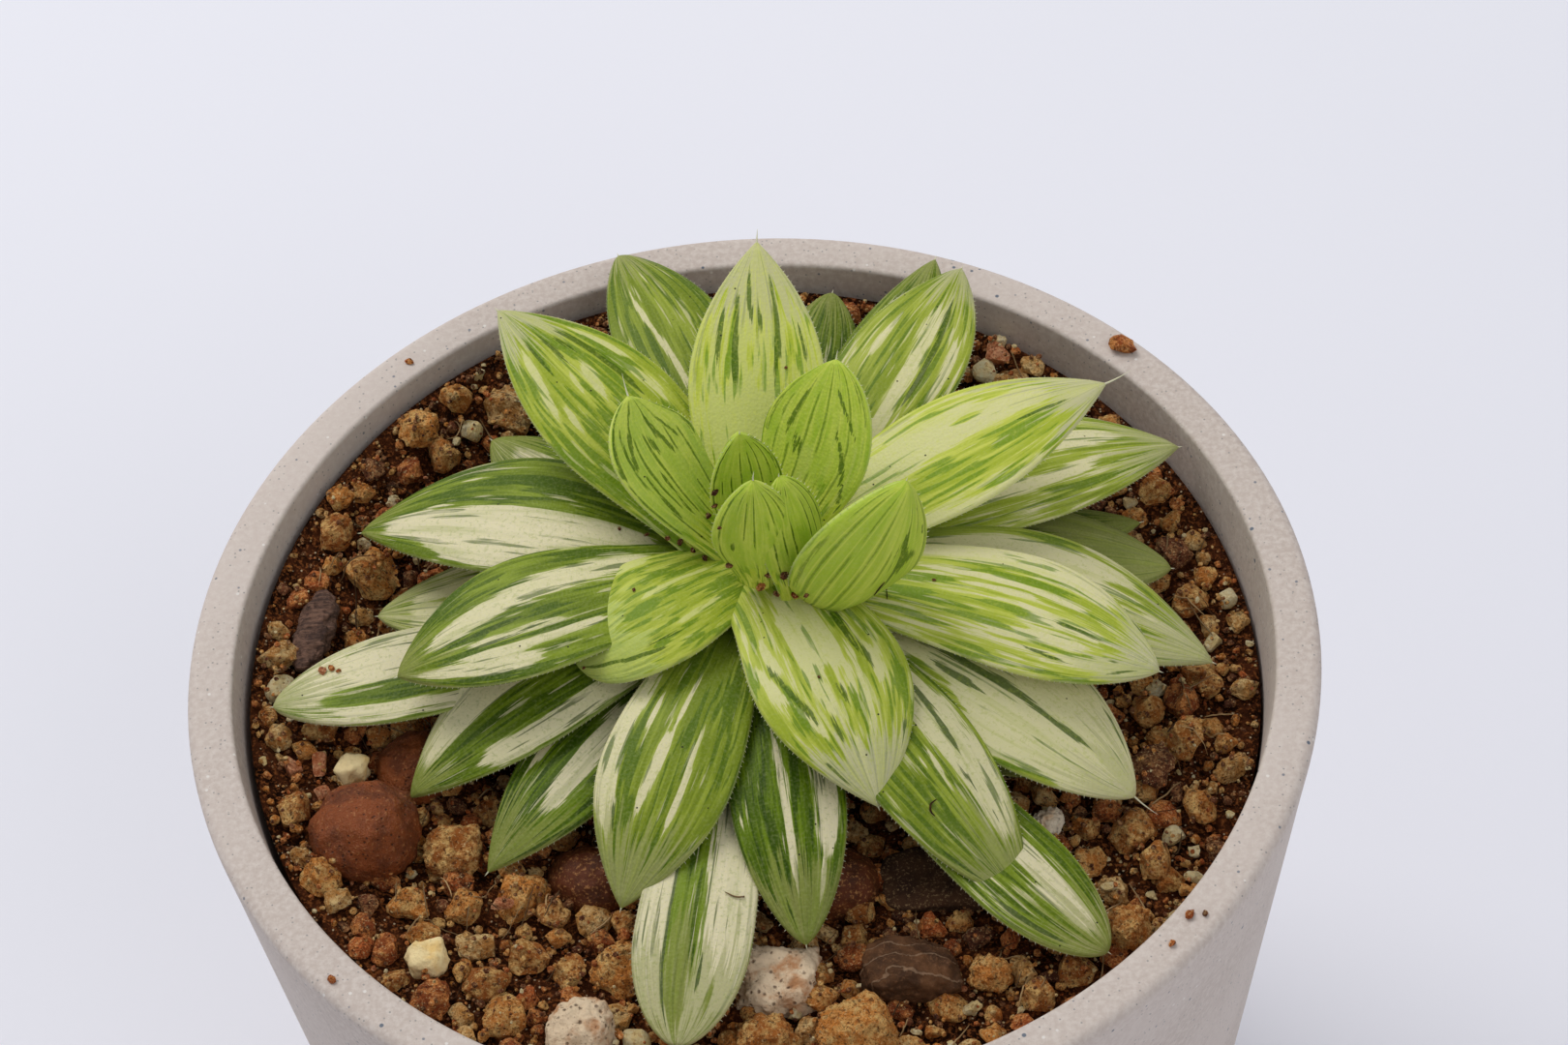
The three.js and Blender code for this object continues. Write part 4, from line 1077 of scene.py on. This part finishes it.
class Gravel:
    """Grains put one by one on the soil, where they lie on each other, clear of stones and leaves."""

    def __init__(self, leaf_points, stone_nodes):
        self.random = np.random.default_rng(GRAVEL_SEED)
        self.builds = {kind: Build() for kind in GRAIN_KINDS}
        self.shapes = {}
        for number, (kind, (_, *form, _)) in enumerate(GRAIN_KINDS.items()):
            for detail in (1, 2, 3, 4):
                self.shapes[kind, detail] = lump_shapes(detail, KIND_SHAPES, *form, 10 * number)
        self.taken = []
        for node in stone_nodes:
            low, high = box_mm(node)
            middle = (low + high) / 2
            self.taken.append((middle[0], middle[1], (high - low)[:2].mean() / 2 * STONE_ROOM))
        places = np.arange(-RIM_RADIUS, RIM_RADIUS + GROUND_CELL, GROUND_CELL)
        self.x, self.y = np.meshgrid(places, places, indexing="ij")
        self.ground = SOIL_TOP + bank_height(self.x, self.y)
        self.ceiling = np.full(self.x.shape, np.inf)
        near = cells_at(leaf_points[:, :2])
        inside = np.all((near >= 0) & (near < len(places)), axis=1)
        column, row = near[inside].T
        np.minimum.at(self.ceiling, (column, row), leaf_points[inside, 2])
        for axis in (0, 1):
            moved = [np.roll(self.ceiling, step, axis) for step in (-2, -1, 0, 1, 2)]
            self.ceiling = np.minimum.reduce(moved)

    def disc(self, x, y, radius):
        """The cells round a place, and their distances in shares of the radius."""
        first = [max(0, int((value - radius + RIM_RADIUS) / GROUND_CELL)) for value in (x, y)]
        last = [int((value + radius + RIM_RADIUS) / GROUND_CELL) + 2 for value in (x, y)]
        cells = (slice(first[0], last[0]), slice(first[1], last[1]))
        return cells, np.hypot(self.x[cells] - x, self.y[cells] - y) / radius

    def crowded(self, x, y, radius, crowding):
        taken = np.array(self.taken)
        gaps = np.hypot(taken[:, 0] - x, taken[:, 1] - y)
        return bool(np.any(gaps < crowding * (taken[:, 2] + radius)))

    def pick(self, kinds):
        """One of the kinds, by their shares."""
        shares = np.array(list(kinds.values()))
        return self.random.choice(list(kinds), p=shares / shares.sum())

    def add(self, kind, x, y, height, radius, breadth, turn, tilt, detail):
        shapes = self.shapes[kind, detail]
        points, faces = shapes[self.random.integers(len(shapes))]
        rotation = Matrix.Rotation(turn, 3, "Z") @ Matrix.Rotation(tilt, 3, "X")
        sized = points * (radius, radius * breadth, GRAIN_HEIGHT * radius)
        laid = sized @ np.array(rotation).T + (x, y, height)
        self.builds[kind].add(laid, faces, tint=self.random.uniform(0, 1))
        cells, share = self.disc(x, y, radius)
        top = height + GRAIN_HEIGHT * radius * np.sqrt(np.maximum(0, 1 - share ** 2))
        self.ground[cells] = np.where(share < 1, np.maximum(self.ground[cells], top), self.ground[cells])

    def put(self, kind, x, y, radius, rise, detail):
        """Lays a grain on what is there, or lower where a leaf hangs over it, and says whether it fits."""
        cells, share = self.disc(x, y, radius)
        carried = self.ground[cells][share < GRAIN_REST].mean()
        over = self.ceiling[cells][share < 1].min()
        height = min(carried + rise * radius, over - GRAIN_HEIGHT * radius - LEAF_ROOM)
        if height < SOIL_TOP + bank_height(x, y) - GRAIN_DEEPEST * radius:
            return False
        turn, tilt = self.random.uniform(0, 2 * np.pi), self.random.normal(0, GRAIN_TILT)
        self.add(kind, x, y, height, radius, self.random.uniform(GRAIN_NARROWEST, 1), turn, tilt, detail)
        return True

    def somewhere(self, radius):
        reach = (SOIL_EDGE_RADIUS - radius) * math.sqrt(self.random.uniform())
        turn = self.random.uniform(0, 2 * np.pi)
        return reach * math.cos(turn), reach * math.sin(turn)

    def throw(self, tries, smallest, largest, rise, detail, crowding, kinds):
        """Throws grains over the whole bed, and keeps those that have room."""
        for _ in range(tries):
            radius = smallest + (largest - smallest) * self.random.uniform() ** SIZE_POWER
            x, y = self.somewhere(radius)
            kind = self.pick(kinds)
            if crowding and self.crowded(x, y, radius, crowding):
                continue
            if self.put(kind, x, y, radius, rise * self.random.uniform(), detail) and crowding:
                self.taken.append((x, y, radius))


def grain_look(name, dark, middle, light, pit_shade):
    look = Look(name)
    cloud = look.noise(0.8, 4, 0.6)
    fine = look.noise(4, 5, 0.75)
    cracks = look.noise(1.5, 4, 0.65)
    colour = look.mix(look.value("tint"), dark, middle)
    colour = look.paint(colour, light, cloud, 0.4, 0.66)
    # Painted shade on the low spots of the fine relief, and a painted highlight of bright gold on its high
    # spots.
    colour = look.paint(colour, dark, fine, 0.5, 0.4, 0.85)
    colour = look.paint(colour, "ffe0a4", fine, 0.56, 0.64, 0.85)
    # Painted shade: the pit colour in the cracks and pits, and the dark colour in the holes, where the bump
    # is low.
    colour = look.paint(colour, pit_shade, cracks, 0.43, 0.36, 0.7)
    pits = look.step(look.cells(1.7), 0.08, 0.26)
    colour = look.hollow(colour, pit_shade, pits, 0.65)
    holes = look.step(look.cells(3.6), 0.1, 0.2)
    colour = look.hollow(colour, dark, holes, 0.6)
    height = look.sum(look.product(fine, 1.2), look.product(pits, 0.5), look.product(holes, 0.3), cracks)
    return look.done(colour, look.step(fine, 0.5, 0.68, 0.9, 0.5), look.bump(height, 0.45), 0.25)


# Stones

def finer(node, rounds, cuts):
    """The points, normals and faces of the CAD stone, rounded and cut finer."""
    rough = bmesh.new()
    rough.from_mesh(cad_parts[node].data)
    bmesh.ops.remove_doubles(rough, verts=rough.verts, dist=1e-6)
    coarse = bpy.data.meshes.new("coarse")
    rough.to_mesh(coarse)
    rough.free()
    helper = link("helper", coarse)
    for kind, levels in (("CATMULL_CLARK", rounds), ("SIMPLE", cuts)):
        if levels > 0:
            cut = helper.modifiers.new(kind, "SUBSURF")
            cut.subdivision_type = kind
            cut.levels = levels
    solid = helper.evaluated_get(bpy.context.evaluated_depsgraph_get()).to_mesh()
    points = points_mm(solid)
    normals = np.array([vertex.normal for vertex in solid.vertices])
    faces = np.array([list(face.vertices) for face in solid.polygons])
    bpy.data.objects.remove(helper)
    return points, normals, faces


def fine_stone_mesh(node, rounds, cuts, depth, scale, square, seed):
    """The finer CAD stone, squared, roughened, and fitted back into its own box."""
    low, high = box_mm(node)
    points, normals, faces = finer(node, rounds, cuts)
    middle = (low + high) / 2
    share = np.abs(points - middle) / (high - low)
    plain = np.sum(share ** 2, axis=1) ** (1 / 2)
    squared = np.sum(share ** square, axis=1) ** (1 / square)
    points = middle + (points - middle) * (plain / squared)[:, None]
    points = points + depth * fractal(points - middle, scale, seed, 6, 0.7)[:, None] * normals
    size = points.max(axis=0) - points.min(axis=0)
    points = (points - points.min(axis=0)) / size * (high - low) + low
    build = Build()
    build.add(points, faces, tint=(seed * TINT_STEP) % 1)
    return build.mesh(node)


def clay_look():
    look = Look("baked clay")
    fine = look.noise(2.6, 4, 0.7)
    colour = look.mix(look.value("tint"), "8e4618", "9c5420")
    colour = look.paint(colour, "6a3210", look.noise(0.28, 5, 0.6), 0.42, 0.62)
    colour = look.paint(colour, "b8794a", fine, 0.54, 0.72)
    dots = look.step(look.cells(1.5), 0.2, 0.1)
    colour = look.mix(look.product(dots, 0.7), colour, "32170c")
    return look.done(colour, 0.48, look.bump(look.math("SUBTRACT", fine, look.product(dots, 0.4)), 0.4), 0.4)


def dark_pebble_look():
    look = Look("dark red pebble")
    fine = look.noise(3, 4, 0.7)
    colour = look.paint("602e14", "42200c", look.noise(0.35, 5, 0.6), 0.38, 0.66)
    colour = look.paint(colour, "a87444", fine, 0.52, 0.68)
    return look.done(colour, 0.6, look.bump(fine, 0.12), 0.25)


def slate_look():
    look = Look("dark slate")
    fine = look.noise(3.5, 5, 0.75)
    colour = look.paint("382012", "583a24", look.noise(0.3), 0.35, 0.65)
    colour = look.paint(colour, "ac8e66", fine, 0.54, 0.63, 0.8)
    return look.done(colour, 0.75, look.bump(fine, 0.35), 0.25)


def veined_look():
    look = Look("veined stone")
    cloud = look.noise(0.4, 5, 0.6)
    fine = look.noise(2.4, 5, 0.7)
    waves = {"Vector": look.place, "Scale": 0.17, "Distortion": 5.5, "Detail": 5, "Detail Scale": 1.6}
    veins = look.node("TexWave", "Fac", waves, bands_direction="Y")
    colour = look.paint("442a16", "664226", cloud, 0.35, 0.65)
    colour = look.paint(colour, "7e573a", fine, 0.52, 0.68, 0.7)
    vein = look.step(look.sum(veins, look.swing(fine, 0.1)), 0.955, 0.995)
    colour = look.mix(look.product(vein, 0.5), colour, "a5866a")
    height = look.sum(cloud, look.product(fine, 0.6), look.product(vein, 0.2))
    return look.done(colour, 0.7, look.bump(height, 0.5), 0.25)


def pumice_look(name, pale, stain, pitted):
    look = Look(name)
    fine = look.noise(2.2, 5, 0.7)
    colour = look.paint(pale, stain, look.noise(0.4, 5, 0.6), 0.48, 0.7)
    pits = look.step(look.cells(1.3), 0.08, 0.3)
    colour = look.hollow(colour, "5c3a26", pits, pitted)
    holes = look.step(look.cells(2.9), 0.1, 0.2)
    colour = look.hollow(colour, "70492f", holes, pitted * 0.5)
    height = look.sum(fine, look.product(pits, pitted), look.product(holes, pitted * 0.5))
    return look.done(colour, 0.9, look.bump(height, 0.3), 0.2)


def bark_look():
    look = Look("bark")
    stretched = {"Vector": look.place, "Rotation": (0, 0, -BARK_TURN), "Scale": (0.35, 2.2, 2.2)}
    grain = look.noise(1, 5, 0.65, look.node("Mapping", 0, stretched))
    colour = look.paint("3a241b", "7a5948", grain, 0.35, 0.65)
    return look.done(colour, 0.85, look.bump(grain, 0.5))


# Loose dirt

def fibre_look():
    look = Look("dry fibre")
    colour = look.mix(look.value("tint"), "2a1a10", "c9a878")
    colour = look.paint(colour, "6b4528", look.noise(0.9, 3, 0.6), 0.4, 0.7, 0.5)
    return look.done(colour, 0.85, look.bump(look.noise(7, 3, 0.6), 0.05), 0.15)


def thread(build, path, radius, tint):
    """A thin tube of four sides along the points of a path, which narrows to its ends."""
    forward = unit(np.gradient(path, axis=0))
    aside = unit(np.cross(forward, [0.11, 0.07, 1]))
    share = np.linspace(0.03, 0.97, len(path))
    radii = radius * np.sqrt(np.clip(4 * share * share[::-1], 0, 1))
    tube(build, path, aside, np.cross(aside, forward), radii, 4, tint=tint)


def lay_fibres(gravel, build):
    """Short dry fibres that lie on the grains, and bend over them."""
    random = np.random.default_rng(FIBRE_SEED)
    for _ in range(FIBRES):
        x, y = gravel.somewhere(2)
        turn = random.uniform(0, 2 * np.pi)
        length = random.uniform(*FIBRE_LENGTHS)
        bent = turn + random.normal(0, FIBRE_BEND) * np.linspace(0, 1, FIBRE_STEPS + 1)
        walk = length / FIBRE_STEPS * np.stack([np.cos(bent), np.sin(bent)], axis=1)
        flat = np.array([x, y]) + np.cumsum(walk, axis=0)
        if np.hypot(*flat[-1]) > SOIL_EDGE_RADIUS - 1:
            continue
        cells = tuple(cells_at(flat).T)
        carried = gravel.ground[cells]
        raised = np.convolve(np.pad(carried, 2, mode="edge"), np.ones(5) / 5, mode="valid")
        raised = np.maximum(raised, carried) + FIBRE_LIFT
        if np.any(gravel.ceiling[cells] < raised + FIBRE_ROOM):
            continue
        thread(build, np.column_stack([flat, raised]), random.uniform(*FIBRE_RADII), random.uniform(0, 1))


def view_axes():
    """The camera's directions to the right, up and back."""
    back = Vector((0, -math.cos(VIEW_ELEVATION), math.sin(VIEW_ELEVATION)))
    level = Vector((1, 0, 0))
    upright = back.cross(level)
    right = math.cos(VIEW_ROLL) * level + math.sin(VIEW_ROLL) * upright
    up = math.cos(VIEW_ROLL) * upright - math.sin(VIEW_ROLL) * level
    return right, up, back


def seen_at(tree, column, row):
    """The point and the outward direction of the surface that the photo shows at a pixel, in millimetres."""
    right, up, back = view_axes()
    start = VIEW_TARGET + VIEW_DISTANCE * back
    focal = LENS / SENSOR_WIDTH * PHOTO_WIDTH
    sight = (column - PHOTO_WIDTH / 2) * right + (PHOTO_HEIGHT / 2 - row) * up - focal * back
    point, normal = tree.ray_cast(start, sight.normalized())[:2]
    return np.array(point), np.array(normal)


def lay_crumbs(tree, builds):
    """Crumbs that lie on the leaves and on the rim, where the photo shows them."""
    random = np.random.default_rng(CRUMB_SEED)
    shapes = lump_shapes(CRUMB_DETAIL, CRUMB_SHAPES, *CRUMB_FORM, CRUMB_SEED)
    for kind, column, row, length in CRUMBS_SEEN:
        point, normal = seen_at(tree, column, row)
        points, faces = shapes[random.integers(len(shapes))]
        turn = np.array(Matrix.Rotation(random.uniform(0, 2 * np.pi), 3, "Z"))
        sized = points * np.multiply(length, CRUMB_HALVES)
        middle = point + CRUMB_LIFT * length * normal
        builds[kind].add(sized @ turn.T + middle, faces, tint=random.uniform(0, 1))


def lay_hairs(tree, build):
    """Fine hairs that lie on the leaves, where the photo shows them."""
    for pixels, radius, tint in HAIRS_SEEN:
        met = [seen_at(tree, column, row) for column, row in pixels]
        path = np.array([point + (radius + HAIR_LIFT) * normal for point, normal in met])
        share = np.linspace(0, len(path) - 1, 6 * len(path))
        fine = np.stack([np.interp(share, np.arange(len(path)), path[:, axis]) for axis in range(3)], axis=1)
        padded = np.pad(fine, ((2, 2), (0, 0)), mode="edge")
        fine = sum(padded[step:step + len(fine)] for step in range(5)) / 5
        thread(build, fine, radius, tint)


# Scene

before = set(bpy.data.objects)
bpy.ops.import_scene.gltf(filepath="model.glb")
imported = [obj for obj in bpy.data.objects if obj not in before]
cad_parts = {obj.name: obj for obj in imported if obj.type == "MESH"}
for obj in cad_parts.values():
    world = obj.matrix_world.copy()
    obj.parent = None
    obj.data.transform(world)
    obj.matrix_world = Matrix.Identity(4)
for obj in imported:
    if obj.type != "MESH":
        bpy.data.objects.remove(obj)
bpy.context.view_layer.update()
seen = Build()


def note_surface(mesh):
    """Keeps a mesh's triangles, in millimetres, for what lies on it."""
    mesh.calc_loop_triangles()
    seen.add(points_mm(mesh), np.array([triangle.vertices for triangle in mesh.loop_triangles]))


pot = pot_mesh()
note_surface(pot)
place("pot_fine", pot, pot_look(), "pot", "pot")

striped = leaf_look()
for number, row in enumerate(LEAF_ROWS):
    leaf = {**LEAF_USUAL, **dict(zip(LEAF_COLUMNS, row))}
    for unusual in row[len(LEAF_COLUMNS):]:
        leaf.update(unusual)
    node = "leaf_" + leaf["name"]
    group = leaf["name"].split("_")[0].replace("lowest", "lower")
    mesh = leaf_mesh(leaf, number)
    place(node + "_fine", mesh, striped, "leaf_" + group, node)
    note_surface(mesh)

stone_looks = {
    "clay": (clay_look(), "clay"),
    "pebble": (dark_pebble_look(), "clay"),
    "slate": (slate_look(), "dark_stone"),
    "veined": (veined_look(), "dark_stone"),
    "pumice": (pumice_look("stained pumice", "e8d0b0", "c08c62", 0.75), "pumice"),
    "cream": (pumice_look("cream pumice", "ffe8b0", "f4cf88", 0.1), "pumice"),
    "white": (pumice_look("perlite", "fbeed6", "dcb890", 0.45), "pumice"),
    "brown": (grain_look("brown stone", *GRAIN_KINDS["ochre"][4]), "brown_stone"),
    "bark": (bark_look(), "bark"),
}
for number, (node, (look, *form)) in enumerate(STONES.items()):
    place(node + "_fine", fine_stone_mesh(node, *form, number), *stone_looks[look], node)

place("soil_bed", soil_bed_mesh(), soil_look(), "soil", "soil")
gravel = Gravel(np.concatenate(seen.points[1:]), STONES)
for x, y, height, radius, breadth, turn in cad_grains():
    gravel.add(gravel.pick(CAD_KINDS), x, y, height, radius, breadth, turn, 0, CAD_DETAIL)
    gravel.taken.append((x, y, radius))
for kind, grains in PLACED_GRAINS.items():
    for x, y, length in grains:
        if gravel.put(kind, x, y, length / 2, PLACED_RISE, PLACED_DETAIL):
            gravel.taken.append((x, y, length / 2))
for throw in THROWS:
    gravel.throw(*throw)
fibres = Build()
lay_fibres(gravel, fibres)
tree = BVHTree.FromPolygons(np.concatenate(seen.points), np.concatenate(seen.faces[3]).tolist())
lay_crumbs(tree, gravel.builds)
lay_hairs(tree, fibres)
place("fibres", fibres.mesh("fibres"), fibre_look(), "bark")
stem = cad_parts["stem_and_roots"]
stem.data.materials.clear()
stem.data.materials.append(root_look())
for kind, (slot, facets, near, depth, colours) in GRAIN_KINDS.items():
    mesh = gravel.builds[kind].mesh(kind)
    mesh.shade_flat()
    place("grains_" + kind, mesh, grain_look(kind + " grain", *colours), slot, "soil")


# Stage, light and camera

def floor():
    build = Build()
    corners = ((-1, -1, 0), (1, -1, 0), (1, 1, 0), (-1, 1, 0))
    build.add(FLOOR_REACH * np.array(corners), np.array([[0, 1, 2, 3]]))
    ground = link("floor", build.mesh("floor"))
    look = Look("pale floor")
    ground.data.materials.append(look.done(look.mix(look.noise(0.004, 2), "e8e9f3", "eff0f8"), 0.8))


def light(name, place_m, size, power, colour):
    lamp = bpy.data.lights.new(name, "AREA")
    lamp.shape = "DISK"
    lamp.size = size
    lamp.energy = power
    lamp.color = colour
    holder = link(name, lamp)
    holder.location = place_m
    holder.rotation_euler = (LIGHT_TARGET - Vector(place_m)).to_track_quat("-Z", "Y").to_euler()


def sky():
    world = bpy.data.worlds.new("sky")
    world.use_nodes = True
    background = world.node_tree.nodes["Background"]
    background.inputs["Color"].default_value = SKY_COLOUR
    background.inputs["Strength"].default_value = SKY_STRENGTH
    bpy.context.scene.world = world


def camera():
    right, up, back = view_axes()
    lens = bpy.data.cameras.new("view")
    lens.lens = LENS
    lens.sensor_width = SENSOR_WIDTH
    lens.sensor_fit = "HORIZONTAL"
    lens.clip_start = 0.01
    holder = link("view", lens)
    turned = Matrix((right, up, back)).transposed().to_4x4()
    holder.matrix_world = Matrix.Translation((VIEW_TARGET + VIEW_DISTANCE * back) * MM) @ turned
    bpy.context.scene.camera = holder


floor()
for name, lamp in LIGHTS.items():
    light(name, *lamp)
sky()
bpy.context.scene.view_settings.view_transform = "Standard"
camera()
